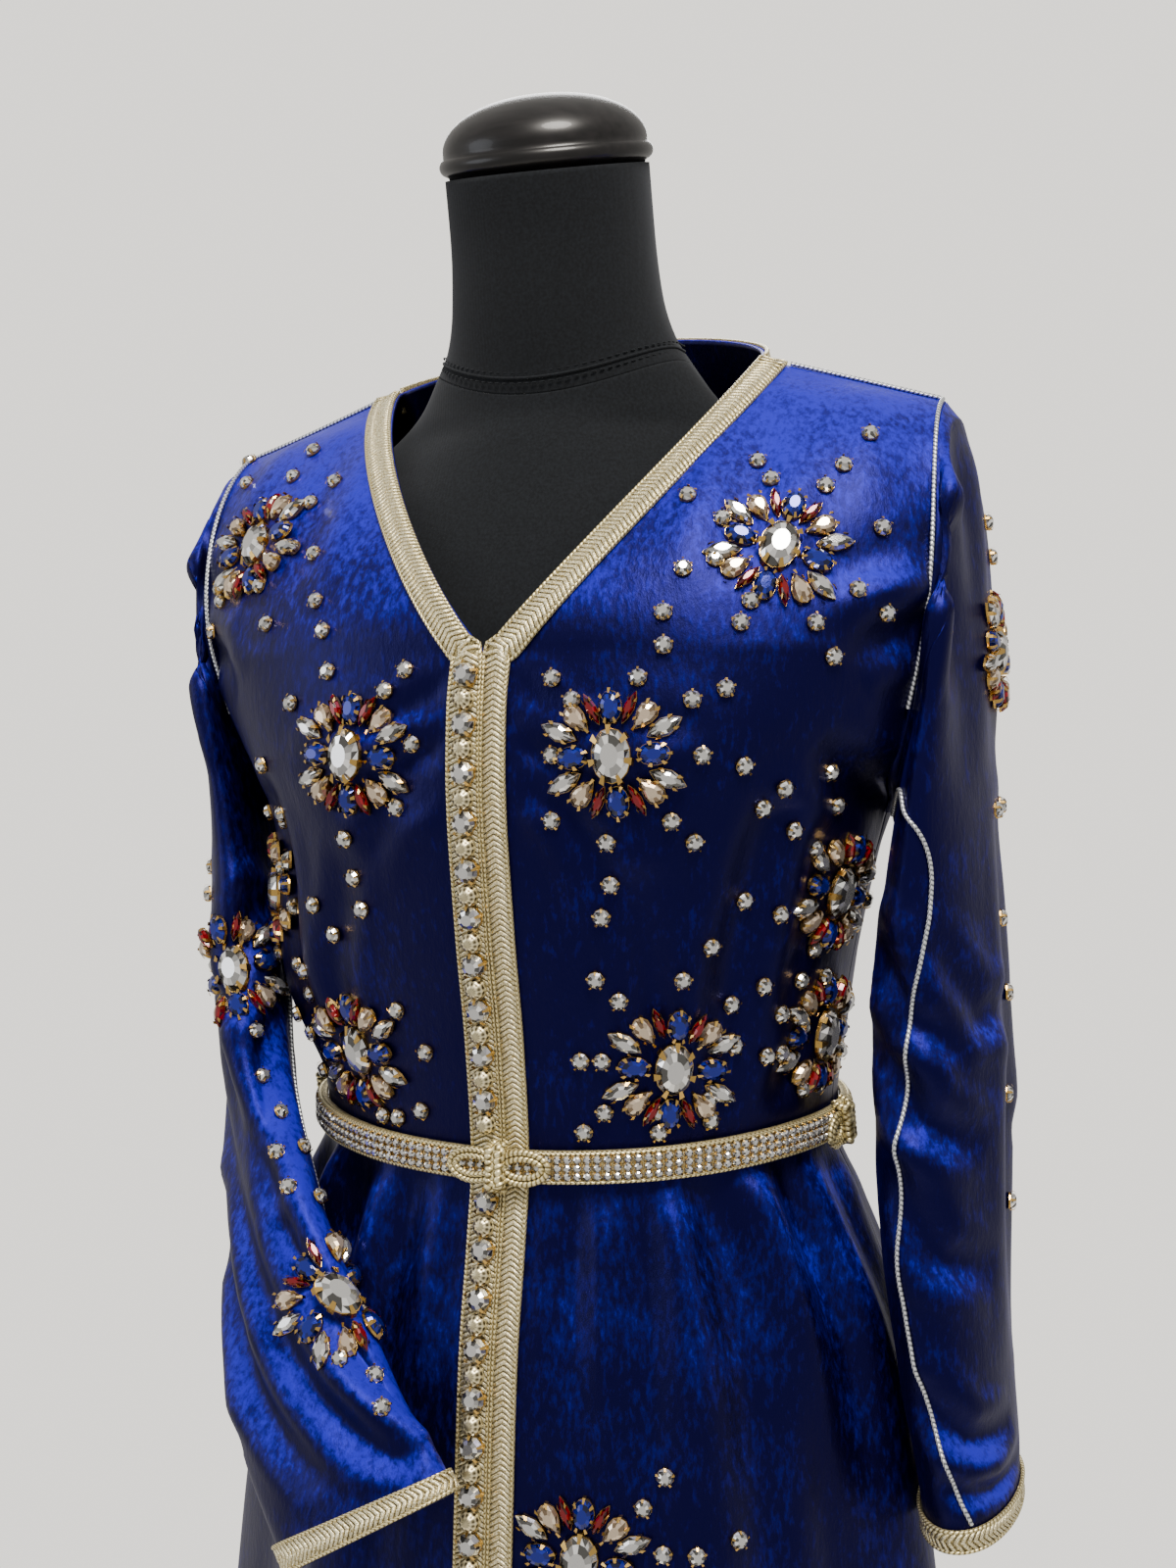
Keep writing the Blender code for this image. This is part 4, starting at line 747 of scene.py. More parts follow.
def jersey():
    """Black cotton jersey stretched over padding: matte, with knit ribs drawn 2 mm apart, as coarse as shows."""
    material, tree, shader = new_material("black cotton jersey", {
        "Roughness": 0.95, "Specular IOR Level": 0.2, "Sheen Weight": 0.12, "Sheen Roughness": 0.5,
        "Sheen Tint": (0.5, 0.53, 0.6, 1.0)})
    place = add_node(tree, "ShaderNodeTexCoord")
    rib = add_node(tree, "ShaderNodeTexWave", {"Scale": 160.0, "Distortion": 1.5, "Detail": 2.0,
                                               "bands_direction": "X"}, {"Vector": (place, "Object")})
    lint = add_node(tree, "ShaderNodeTexNoise", {"Scale": 700.0, "Detail": 3.0}, {"Vector": (place, "Object")})
    shade = add_node(tree, "ShaderNodeValToRGB",
                     {"stops": [(0.35, linear("#0B0D10")), (0.68, linear("#14171B"))]}, {"Fac": (lint, "Fac")})
    tree.links.new(shade.outputs["Color"], shader.inputs["Base Color"])
    bump = add_node(tree, "ShaderNodeBump", {"Strength": 0.12, "Distance": 0.0003}, {"Height": (rib, "Fac")})
    tree.links.new(bump.outputs["Normal"], shader.inputs["Normal"])
    return material


def lacquered_wood():
    """Stained beech under gloss lacquer: faint grain, clear reflections."""
    material, tree, shader = new_material("lacquered dark beech", {
        "Roughness": 0.34, "Specular IOR Level": 0.3, "Coat Weight": 0.15, "Coat Roughness": 0.04})
    place = add_node(tree, "ShaderNodeTexCoord")
    lay = add_node(tree, "ShaderNodeMapping", {"Scale": (1.0, 6.0, 6.0)}, {"Vector": (place, "Object")})
    grain = add_node(tree, "ShaderNodeTexNoise", {"Scale": 40.0, "Detail": 6.0}, {"Vector": (lay, "Vector")})
    shade = add_node(tree, "ShaderNodeValToRGB",
                     {"stops": [(0.35, linear("#080708")), (0.65, linear("#151314"))]}, {"Fac": (grain, "Fac")})
    tree.links.new(shade.outputs["Color"], shader.inputs["Base Color"])
    return material


def powder_coat():
    """Black powder-coated steel: satin with a fine orange-peel."""
    material, tree, shader = new_material("black powder coated steel", {
        "Base Color": (*linear("#1B1B1D"), 1.0), "Roughness": 0.42})
    place = add_node(tree, "ShaderNodeTexCoord")
    peel = add_node(tree, "ShaderNodeTexNoise", {"Scale": 600.0}, {"Vector": (place, "Object")})
    bump = add_node(tree, "ShaderNodeBump", {"Strength": 0.2, "Distance": 0.0003}, {"Height": (peel, "Fac")})
    tree.links.new(bump.outputs["Normal"], shader.inputs["Normal"])
    return material


def studio_paint(name, code, fade):
    """Matte studio paint, a little uneven, that fades out between two distances from the middle, in metres."""
    material, tree, shader = new_material(name, {"Roughness": 0.9, "Specular IOR Level": 0.2})
    place = add_node(tree, "ShaderNodeTexCoord")
    cloud = add_node(tree, "ShaderNodeTexNoise", {"Scale": 1.5, "Detail": 4.0}, {"Vector": (place, "Object")})
    pale = linear(code)
    shade = add_node(tree, "ShaderNodeValToRGB",
                     {"stops": [(0.3, tuple(value * 0.96 for value in pale)), (0.7, pale)]}, {"Fac": (cloud, "Fac")})
    tree.links.new(shade.outputs["Color"], shader.inputs["Base Color"])
    away = add_node(tree, "ShaderNodeVectorMath", {"operation": "LENGTH"}, {"Vector": (place, "Object")})
    left = add_node(tree, "ShaderNodeMapRange", {"From Min": fade[0], "From Max": fade[1], "To Min": 1.0,
                                                 "To Max": 0.0}, {"Value": (away, "Value")})
    tree.links.new(left.outputs["Result"], shader.inputs["Alpha"])
    return material


FINISHES = {
    "velvet": velvet,
    # the cords' dark colours are painted shade in the grooves of their twist
    "gold cord": lambda: metal_thread("twisted gold thread", linear("#F6E8B4"), linear("#6A5828"), 420.0),
    "silver cord": lambda: metal_thread("twisted silver thread", linear("#E4E7EC"), linear("#5A5E66"), 420.0),
    "braid": lambda: flat_braid("pale gold braid", linear("#D9CA98"), linear("#5C4C28")),
    "strand": lambda: flat_braid("bright gold strand", linear("#FBF3D0"), linear("#AE9A62")),
    # the knotted thread's dark colour is painted shade in the grooves of its weave
    "knotted": lambda: knotted_thread("knotted gold thread", linear("#F2E6BC"), linear("#3C3018")),
    # the stones' light and dark colours are their own tint, and the spread between them is painted reflection on
    # their facets
    "clear": lambda: foiled_stone("clear foiled stone", linear("#FFFFFF"), linear("#403F3C"), 0.80),
    "champagne": lambda: foiled_stone("champagne foiled stone", linear("#F4DFC6"), linear("#6E5A42"), 0.7),
    "sapphire": lambda: foiled_stone("blue foiled stone", linear("#0A1F9A"), linear("#01031E"), 0.45),
    "ruby": lambda: foiled_stone("red foiled stone", linear("#86000F"), linear("#1E0003"), 0.30),
    "gold": lambda: cast_metal("gold plated claw", linear("#C9A45C"), 0.24),
    "jersey": jersey,
    "lacquer": lacquered_wood,
    "steel": powder_coat,
}


def finish(name):
    """The named finish, made once."""
    key = "finish " + name
    for material in bpy.data.materials:
        if material.get("finish") == key:
            return material
    material = FINISHES[name]()
    material["finish"] = key
    return material


# ---- making pieces -------------------------------------------------------------------------------------------

def put(name, mesh, finish_name, slot, nodes=(), flat=False):
    """Add a finished mesh as a piece of the object."""
    thing = bpy.data.objects.new(name, mesh)
    bpy.context.scene.collection.objects.link(thing)
    if finish_name:
        mesh.materials.clear()
        mesh.materials.append(finish(finish_name))
    mesh.polygons.foreach_set("use_smooth", [not flat] * len(mesh.polygons))
    if nodes:
        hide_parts(*nodes)
    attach(thing, "root")
    return thing


def grid_mesh(name, points, closed=False):
    """A sheet of quads over a grid of points; closed joins its last column to its first."""
    rows, columns = points.shape[:2]
    mesh = bpy.data.meshes.new(name)
    span = columns if closed else columns - 1
    row, column = np.meshgrid(np.arange(rows - 1), np.arange(span), indexing="ij")
    after = (column + 1) % columns
    faces = np.stack([row * columns + column, row * columns + after,
                      (row + 1) * columns + after, (row + 1) * columns + column], -1).reshape(-1, 4)
    mesh.from_pydata(points.reshape(-1, 3).tolist(), [], faces.tolist())
    return mesh


def thicken(thing, thickness, offset=0.0):
    shell = thing.modifiers.new("thickness", "SOLIDIFY")
    shell.thickness = thickness
    shell.offset = offset


def face_out(mesh, away_from):
    """Turn a mesh's faces round if they look towards a point."""
    total = 0.0
    for index in range(0, len(mesh.polygons), max(1, len(mesh.polygons) // 200)):
        polygon = mesh.polygons[index]
        total += polygon.normal.dot(polygon.center - Vector(away_from))
    if total < 0:
        mesh.flip_normals()


def turned_mesh(name, profile, segments=64):
    """A turned solid: a profile of radius and height, from the top to the bottom, closed on the axis."""
    shape = bmesh.new()
    spots = [shape.verts.new((radius, 0.0, z)) for radius, z in profile]
    edges = [shape.edges.new(pair) for pair in zip(spots, spots[1:])]
    bmesh.ops.spin(shape, geom=spots + edges, cent=(0, 0, 0), axis=(0, 0, 1), angle=math.tau, steps=segments)
    bmesh.ops.remove_doubles(shape, verts=shape.verts, dist=1e-6)
    bmesh.ops.recalc_face_normals(shape, faces=shape.faces)
    mesh = bpy.data.meshes.new(name)
    shape.to_mesh(mesh)
    shape.free()
    return mesh


# ---- trees that lay things out -------------------------------------------------------------------------------

def lay_out_tree():
    """Sets one item on every point, its Z along "out" and its Y along "along", scaled by "size"."""
    tree = bpy.data.node_groups.get("set items on the cloth")
    if tree:
        return tree
    tree = bpy.data.node_groups.new("set items on the cloth", "GeometryNodeTree")
    tree.is_modifier = True
    face = tree.interface
    face.new_socket("Places", in_out="INPUT", socket_type="NodeSocketGeometry")
    face.new_socket("Item", in_out="INPUT", socket_type="NodeSocketObject")
    face.new_socket("Finish", in_out="INPUT", socket_type="NodeSocketMaterial")
    spread = face.new_socket("Uneven turn", in_out="INPUT", socket_type="NodeSocketFloat")
    spread.subtype = "ANGLE"
    face.new_socket("Pieces", in_out="OUTPUT", socket_type="NodeSocketGeometry")
    source = add_node(tree, "NodeGroupInput")
    item = add_node(tree, "GeometryNodeObjectInfo", {"transform_space": "ORIGINAL"}, {"Object": (source, "Item")})
    out = add_node(tree, "GeometryNodeInputNamedAttribute", {"data_type": "FLOAT_VECTOR", "Name": "out"})
    along = add_node(tree, "GeometryNodeInputNamedAttribute", {"data_type": "FLOAT_VECTOR", "Name": "along"})
    size = add_node(tree, "GeometryNodeInputNamedAttribute", {"data_type": "FLOAT_VECTOR", "Name": "size"})
    stand = add_node(tree, "FunctionNodeAlignRotationToVector", {"axis": "Z"}, {"Vector": (out, "Attribute")})
    turn = add_node(tree, "FunctionNodeAlignRotationToVector", {"axis": "Y", "pivot_axis": "Z"},
                    {"Rotation": (stand, "Rotation"), "Vector": (along, "Attribute")})
    less = add_node(tree, "ShaderNodeMath", {"operation": "MULTIPLY", 1: -1.0}, {0: (source, "Uneven turn")})
    uneven = add_node(tree, "FunctionNodeRandomValue", {"data_type": "FLOAT", "Seed": 7},
                      {2: (less, "Value"), 3: (source, "Uneven turn")})
    swing = add_node(tree, "FunctionNodeAxisAngleToRotation", {"Axis": (0.0, 0.0, 1.0)}, {"Angle": (uneven, 1)})
    final = add_node(tree, "FunctionNodeRotateRotation", {"rotation_space": "LOCAL"},
                     {"Rotation": (turn, "Rotation"), "Rotate By": (swing, "Rotation")})
    laid = add_node(tree, "GeometryNodeInstanceOnPoints", None,
                    {"Points": (source, "Places"), "Instance": (item, "Geometry"),
                     "Rotation": (final, "Rotation"), "Scale": (size, "Attribute")})
    real = add_node(tree, "GeometryNodeRealizeInstances", None, {"Geometry": (laid, "Instances")})
    coat = add_node(tree, "GeometryNodeSetMaterial", None,
                    {"Geometry": (real, "Geometry"), "Material": (source, "Finish")})
    add_node(tree, "NodeGroupOutput", None, {0: (coat, "Geometry")})
    return tree


def cord_tree():
    """Makes a round cord along edges; "run" is the length so far and "turn" the place round it, for its twist."""
    tree = bpy.data.node_groups.get("twist a cord")
    if tree:
        return tree
    tree = bpy.data.node_groups.new("twist a cord", "GeometryNodeTree")
    tree.is_modifier = True
    face = tree.interface
    face.new_socket("Route", in_out="INPUT", socket_type="NodeSocketGeometry")
    radius = face.new_socket("Radius", in_out="INPUT", socket_type="NodeSocketFloat")
    radius.subtype = "DISTANCE"
    face.new_socket("Sides", in_out="INPUT", socket_type="NodeSocketInt")
    face.new_socket("Finish", in_out="INPUT", socket_type="NodeSocketMaterial")
    face.new_socket("Cord", in_out="OUTPUT", socket_type="NodeSocketGeometry")
    source = add_node(tree, "NodeGroupInput")
    route = add_node(tree, "GeometryNodeMeshToCurve", None, {"Mesh": (source, "Route")})
    length = add_node(tree, "GeometryNodeSplineParameter")
    marked = add_node(tree, "GeometryNodeStoreNamedAttribute", {"data_type": "FLOAT", "domain": "POINT",
                      "Name": "run"}, {"Geometry": (route, "Curve"), "Value": (length, "Length")})
    ring = add_node(tree, "GeometryNodeCurvePrimitiveCircle", None,
                    {"Resolution": (source, "Sides"), "Radius": (source, "Radius")})
    round_it = add_node(tree, "GeometryNodeSplineParameter")
    marked_ring = add_node(tree, "GeometryNodeStoreNamedAttribute", {"data_type": "FLOAT", "domain": "POINT",
                           "Name": "turn"}, {"Geometry": (ring, "Curve"), "Value": (round_it, "Factor")})
    tube = add_node(tree, "GeometryNodeCurveToMesh", {"Fill Caps": True},
                    {"Curve": (marked, "Geometry"), "Profile Curve": (marked_ring, "Geometry")})
    soft = add_node(tree, "GeometryNodeSetShadeSmooth", None, {"Geometry": (tube, "Mesh")})
    real = add_node(tree, "GeometryNodeRealizeInstances", None, {"Geometry": (soft, "Geometry")})
    coat = add_node(tree, "GeometryNodeSetMaterial", None,
                    {"Geometry": (real, "Geometry"), "Material": (source, "Finish")})
    add_node(tree, "NodeGroupOutput", None, {0: (coat, "Geometry")})
    return tree


def run_tree(name, mesh, tree, values):
    """Run a tree on a mesh and return the result as a plain mesh."""
    carrier = bpy.data.objects.new(name + " carrier", mesh)
    bpy.context.scene.collection.objects.link(carrier)
    modifier = carrier.modifiers.new("tree", "NODES")
    modifier.node_group = tree
    sockets = {item.name: item.identifier for item in tree.interface.items_tree if item.in_out == "INPUT"}
    for key, value in values.items():
        modifier[sockets[key]] = value
    carrier.update_tag()
    graph = bpy.context.evaluated_depsgraph_get()
    result = bpy.data.meshes.new_from_object(carrier.evaluated_get(graph), preserve_all_data_layers=True,
                                             depsgraph=graph)
    carrier.modifiers.remove(modifier)
    bpy.data.objects.remove(carrier)
    result.name = name
    return result


def lay(name, item, finish_name, slot, places, nodes=(), flat=True, uneven=0.0):
    """Lay copies of an item on the cloth. places is a list of (point, out, along, size)."""
    mesh = bpy.data.meshes.new(name + " places")
    mesh.from_pydata([tuple(map(float, place[0])) for place in places], [], [])
    for index, key in ((1, "out"), (2, "along"), (3, "size")):
        layer = mesh.attributes.new(key, "FLOAT_VECTOR", "POINT")
        layer.data.foreach_set("vector", np.array([place[index] for place in places], float).ravel())
    result = run_tree(name, mesh, lay_out_tree(), {"Item": item, "Finish": finish(finish_name),
                                                   "Uneven turn": uneven})
    return put(name, result, None, slot, nodes, flat)


def cord(name, routes, radius, finish_name, slot, nodes=(), sides=8, cyclic=False):
    """A twisted cord along one or more routes of points."""
    points, edges = [], []
    for route in routes:
        first = len(points)
        points += [tuple(map(float, point)) for point in route]
        edges += [(index, index + 1) for index in range(first, len(points) - 1)]
        if cyclic:
            edges.append((len(points) - 1, first))
    mesh = bpy.data.meshes.new(name + " route")
    mesh.from_pydata(points, edges, [])
    result = run_tree(name, mesh, cord_tree(), {"Radius": radius, "Sides": sides, "Finish": finish(finish_name)})
    return put(name, result, None, slot, nodes, flat=False)


# ---- stones --------------------------------------------------------------------------------------------------

def stone_width(kind, place):
    """A stone's half width, from 0 to 1, at a place along it from -1 to 1."""
    if kind == "navette":
        return 1 - place ** 2
    if kind == "teardrop":
        return math.sqrt(1 + place) * (1 - place) / 1.09
    return math.sqrt(max(0.0, 1 - place ** 2))


def stone_outline(kind, count=12):
    """A stone's outline, 1 wide and 1 long, as points anticlockwise."""
    half = count // 2
    places = [-math.cos(math.pi * step / half) for step in range(half + 1)]
    right = [(stone_width(kind, place) / 2, place / 2) for place in places]
    left = [(-x, y) for x, y in right[1:-1]][::-1]
    return right + left


def stone_item(kind, count=12):
    """A cut stone: a girdle, a ring of crown facets and a flat table, each facet with its own painted reflection, a
    stored brightness.
    """
    outline = stone_outline(kind, count)
    rings = ((1.0, 0.0), (1.0, 0.30), (0.78, 0.78), (0.46, 1.0))
    points = [(x * scale, y * scale, height) for scale, height in rings for x, y in outline]
    faces = []
    for level in range(3):
        for spot in range(count):
            after = (spot + 1) % count
            low, high = level * count, (level + 1) * count
            if level == 1:
                faces += [(low + spot, low + after, high + spot), (low + after, high + after, high + spot)]
            else:
                faces.append((low + spot, low + after, high + after, high + spot))
    faces.append(tuple(3 * count + spot for spot in range(count)))
    faces.append(tuple(reversed(range(count))))
    mesh = bpy.data.meshes.new("cut " + kind)
    mesh.from_pydata(points, [], faces)
    # painted reflections: a random brightness for each facet and a middle one for the table, which the stone finish
    # turns into a lighter or darker colour
    random = np.random.default_rng(11)
    fire = mesh.attributes.new("fire", "FLOAT", "FACE")
    values = random.choice((0.05, 0.35, 0.7, 1.0), len(faces), p=(0.25, 0.25, 0.25, 0.25))
    values[-2] = 0.62
    fire.data.foreach_set("value", values.astype(np.float32))
    return hide_item(mesh)


def claw_item(kind, claws, count=12):
    """A stamped setting: a low wall round the girdle, and claws folded over the stone's edge."""
    outline = stone_outline(kind, count)
    shape = bmesh.new()
    rings = ((1.00, -0.10), (1.05, -0.10), (1.03, 0.18), (1.00, 0.18))
    levels = [[shape.verts.new((x * scale, y * scale, height)) for x, y in outline] for scale, height in rings]
    for low, high in zip(levels, levels[1:]):
        for spot in range(count):
            after = (spot + 1) % count
            shape.faces.new((low[spot], low[after], high[after], high[spot]))
    for claw in range(claws):
        spot = round(count * (claw + 0.5) / claws) % count
        x, y = outline[spot]
        reach = math.hypot(x, y)
        way, side = np.array([x, y]) / reach, np.array([-y, x]) / reach
        corners = []
        for scale, height, wide in ((1.20, 0.10, 0.075), (1.14, 0.70, 0.070), (0.80, 0.98, 0.040)):
            for sign in (-1, 1):
                flat = way * reach * scale + side * wide * sign
                corners.append(shape.verts.new((*flat, height)))
        for low in (0, 2):
            shape.faces.new((corners[low], corners[low + 1], corners[low + 3], corners[low + 2]))
    mesh = bpy.data.meshes.new("claws " + kind)
    shape.to_mesh(mesh)
    shape.free()
    return hide_item(mesh)


def ball_item():
    """A ball button of knotted thread: interlaced ridges round a sphere of unit width."""
    shape = bmesh.new()
    bmesh.ops.create_uvsphere(shape, u_segments=28, v_segments=18, radius=0.5)
    weaves = []
    for spot in shape.verts:
        turn, rise = math.atan2(spot.co.y, spot.co.x), math.asin(max(-1, min(1, spot.co.z / 0.5)))
        weave = math.cos(5 * turn + 6 * rise) * math.cos(5 * turn - 6 * rise) * math.cos(rise)
        spot.co *= 1 + 0.12 * weave
        # the stored weave is also read by the knotted thread finish, which paints shade in its grooves
        weaves.append(0.5 + 0.5 * weave)
    mesh = bpy.data.meshes.new("ball button")
    shape.to_mesh(mesh)
    shape.free()
    mesh.attributes.new("weave", "FLOAT", "POINT").data.foreach_set("value", np.array(weaves, np.float32))
    return hide_item(mesh)


def chevron_item():
    """One plait of the braid: a V of thread, 1 wide and 1 thick, its point along Y."""
    shape = bmesh.new()
    path = [(-0.5, -0.55), (-0.25, -0.05), (0.0, 0.40), (0.25, -0.05), (0.5, -0.55)]
    rings = []
    for x, y in path:
        rings.append([shape.verts.new((x, y + 0.42 * math.cos(turn), 0.5 + 0.5 * math.sin(turn)))
                      for turn in np.radians((-30, 50, 130, 210))])
    for low, high in zip(rings, rings[1:]):
        for spot in range(4):
            after = (spot + 1) % 4
            shape.faces.new((low[spot], high[spot], high[after], low[after]))
    shape.faces.new(rings[0])
    shape.faces.new(rings[-1][::-1])
    bmesh.ops.recalc_face_normals(shape, faces=shape.faces)
    mesh = bpy.data.meshes.new("plait")
    shape.to_mesh(mesh)
    shape.free()
    return hide_item(mesh)


def hide_item(mesh):
    """An item for laying out; it isn't in the scene itself."""
    return bpy.data.objects.new(mesh.name, mesh)


ITEMS = {}


def item(name):
    makers = {
        "round": lambda: stone_item("round", 10),
        "oval": lambda: stone_item("oval", 14),
        "teardrop": lambda: stone_item("teardrop"),
        "navette": lambda: stone_item("navette"),
        "bead": lambda: stone_item("bead", 8),
        "round claws": lambda: claw_item("round", 5, 10),
        "oval claws": lambda: claw_item("oval", 7, 14),
        "teardrop claws": lambda: claw_item("teardrop", 5),
        "navette claws": lambda: claw_item("navette", 4),
        "ring": lambda: claw_item("bead", 4, 8),
        "ball": ball_item,
        "plait": chevron_item,
    }
    if name not in ITEMS:
        ITEMS[name] = makers[name]()
    return ITEMS[name]


# ---- paths on the cloth --------------------------------------------------------------------------------------

def even_path(points, *others, pitch):
    """Resample a polyline and the rows that go with it at an even pitch."""
    steps = np.linalg.norm(np.diff(points, axis=0), axis=1)
    length = np.concatenate([[0], np.cumsum(steps)])
    spots = np.linspace(0, length[-1], max(2, int(length[-1] / pitch) + 1))
    return [np.stack([np.interp(spots, length, rows[:, axis]) for axis in range(rows.shape[1])], 1)
            for rows in (points, *others)]


def tangents(points):
    return unit(np.gradient(points, axis=0))


def spot_on_front(side, across_cm, height_cm):
    """Point and outward direction at a distance across from the opening and a height."""
    z = height_cm / 100
    u = np.linspace(0, 1, 60)
    low, high = np.zeros_like(u), np.full_like(u, 1.98)
    for _ in range(26):
        middle = (low + high) / 2
        below = cloth(side, u, middle)[..., 2] < z
        low, high = np.where(below, middle, low), np.where(below, high, middle)
    ring = cloth(side, u, low)
    length = np.concatenate([[0], np.cumsum(np.linalg.norm(np.diff(ring, axis=0), axis=1))])
    place = np.array([np.interp(across_cm / 100, length, u)])
    level = np.array([np.interp(across_cm / 100, length, low)])
    point, out = body_surface(side, place, level)
    return point[0], out[0]


def up_along(out, lean=0.0):
    """The upward direction that lies in the cloth, leaned over by some degrees."""
    right = unit(np.cross([0.0, 0.0, 1.0], out))
    up = np.cross(out, right)
    turn = math.radians(lean)
    return up * math.cos(turn) + right * math.sin(turn)


# ---- the cloth -----------------------------------------------------------------------------------------------

def fine_levels():
    return np.concatenate([np.linspace(0, 0.44, 60)[:-1], np.linspace(0.44, 1.0, 110)[:-1], np.linspace(1, 2, 50)])


def make_front(side):
    """One front panel, cut from the hem to the shoulder in one piece."""
    hand = "left" if side > 0 else "right"
    u, v = np.meshgrid(np.linspace(0, 1, 84), fine_levels())
    points, _ = body_surface(side, u, v)
    mesh = grid_mesh("velvet_front_" + hand, points)
    thing = put(mesh.name, mesh, "velvet", "velvet", ["front_" + hand])
    face_out(mesh, (0, 0.02, 0.9))
    thicken(thing, CLOTH)


def make_back():
    """The back, cut in one piece."""
    u, v = np.meshgrid(np.linspace(1 + 1e-9, 2, 78), fine_levels())
    left, _ = body_surface(1, u, v)
    right, _ = body_surface(-1, u[:, ::-1], v)
    mesh = grid_mesh("velvet_back", np.concatenate([left, right[:, 1:]], 1))
    thing = put(mesh.name, mesh, "velvet", "velvet", ["back"])
    face_out(mesh, (0, 0.02, 0.9))
    thicken(thing, CLOTH)


def make_sleeve(side):
    """A sleeve, one tube with its seam towards the body."""
    hand = "left" if side > 0 else "right"
    rows = np.concatenate([np.linspace(0, 0.08, 14)[:-1], np.linspace(0.08, 1.0, 150)])
    turn, down = np.meshgrid(np.linspace(0, 360, 97)[:-1], rows)
    points, _ = sleeve_surface(side, turn, down)
    mesh = grid_mesh("velvet_sleeve_" + hand, points, closed=True)
    thing = put(mesh.name, mesh, "velvet", "velvet", ["sleeve_" + hand])
    face_out_tube(mesh, points)
    thicken(thing, CLOTH)


def face_out_tube(mesh, points):
    """Turn a tube's faces round if they look towards its own middle line."""
    columns = points.shape[1]
    total = 0.0
    for index in range(0, len(mesh.polygons), 97):
        polygon = mesh.polygons[index]
        middle = points[index // columns].mean(0)
        total += polygon.normal.dot(polygon.center - Vector(middle))
    if total < 0:
        mesh.flip_normals()


# ---- braid and piping ----------------------------------------------------------------------------------------

def make_braid(name, node, middle, out, half):
    """A length of braid along a middle line: a flat band, a twisted cord at each edge, and plaits between."""
    way = tangents(middle)
    side_way = unit(np.cross(way, out))
    rows = [middle + side_way * half[:, None] * share + out * (BRAID_IN + 0.0002)
            for share in (-1, -0.5, 0, 0.5, 1)]
    mesh = grid_mesh(name, np.stack(rows, 1))
    band = put(name, mesh, "braid", "braid", [node])
    mesh.update()
    if sum(polygon.normal.dot(Vector(out[polygon.index // 4])) for polygon in mesh.polygons) < 0:
        mesh.flip_normals()
    thicken(band, 0.0006, 1.0)
    edges = [middle + side_way * (half - 0.0008)[:, None] * sign + out * BRAID_OUT
             for sign in (-1, 1)]
    cord(name + "_edges", edges, 0.0009, "gold cord", "braid", sides=6)
    pitch = bpy.context.scene.kaftan_sizes.plait_pitch
    spots, outs, ways, halves = even_path(middle, out, way, half[:, None], pitch=pitch)
    places = [(spot + direction * (BRAID_IN + 0.0006), direction, along,
               (2 * width[0] - 0.0030, pitch * 1.25, 0.0015))
              for spot, direction, along, width in zip(spots, outs, ways, halves)]
    lay(name + "_plaits", item("plait"), "strand", "braid", places, flat=False)
    return band


def make_front_braid(side):
    hand = "left" if side > 0 else "right"
    v = np.concatenate([np.linspace(0, 0.94, 300)[:-1], np.linspace(0.94, 1.995, 180)])
    down_width = OPENING_LEFT if side > 0 else OPENING_RIGHT
    width = down_width + (BRAID_WIDTH - down_width) * smooth((v - 0.94) / 0.1)
    u = across(side, v, width / 2)
    middle, out = cloth(side, u, v), cloth_normal(side, u, v)
    make_braid("braid_band_front_" + hand, "braid_front_" + hand, middle, out, width / 2)


def make_back_braid():
    spots = np.linspace(1.505, 2, 60)
    left, right = cloth(1, spots, 1.95), cloth(-1, spots[::-1], 1.95)
    out = np.concatenate([cloth_normal(1, spots, 1.95), cloth_normal(-1, spots[::-1], 1.95)[1:]])
    middle = np.concatenate([left, right[1:]])
    low = np.concatenate([cloth(1, spots, 1.9), cloth(-1, spots[::-1], 1.9)[1:]])
    half = np.linalg.norm(middle - low, axis=-1)
    make_braid("braid_band_back_neck", "braid_back_neck", middle, out, np.full_like(half, half.mean()))


def make_cuff_braid(side):
    hand = "left" if side > 0 else "right"
    turn = np.linspace(0, 360, 97)
    middle, out = sleeve(side, turn, 0.975), sleeve_normal(side, turn, 0.975)
    half = np.linalg.norm(middle - sleeve(side, turn, 1.0), axis=-1)
    make_braid("braid_band_cuff_" + hand, "braid_cuff_" + hand, middle, out, half * 0.98)


def make_piping(side):
    """Silver piping on the shoulder seam, round the armhole and down the sleeve's seam."""
    hand = "left" if side > 0 else "right"
    proud = CLOTH / 2 + SEAM + PIPING_RADIUS * 0.7
    u = np.linspace(0.17, 0.975, 50)
    shoulder = cloth(side, u, 2.0) + cloth_normal(side, u, 2.0) * proud
    cord("silver_shoulder_" + hand, [shoulder], PIPING_RADIUS, "silver cord", "silver_cord",
         ["piping_shoulder_" + hand])
    turn = np.linspace(-155, 155, 120)
    level = 2 - np.abs(turn) / 180 * (2 - UNDERARM_V)
    u = np.where(turn < 0, 2 - PIPING_IN, PIPING_IN)
    armhole_line = cloth(side, u, level) + cloth_normal(side, u, level) * proud
    cord("silver_armhole_" + hand, [armhole_line], PIPING_RADIUS, "silver cord", "silver_cord",
         ["piping_armhole_" + hand])
    down, turn = np.moveaxis(table_at(LEFT_SEAM if side > 0 else RIGHT_SEAM, np.linspace(0.05, 1, 160)), -1, 0)
    points, out = sleeve_surface(side, turn, down)
    cord("silver_sleeve_" + hand, [points + out * proud], PIPING_RADIUS, "silver cord", "silver_cord",
         ["piping_sleeve_" + hand])


# ---- buttons and stones --------------------------------------------------------------------------------------

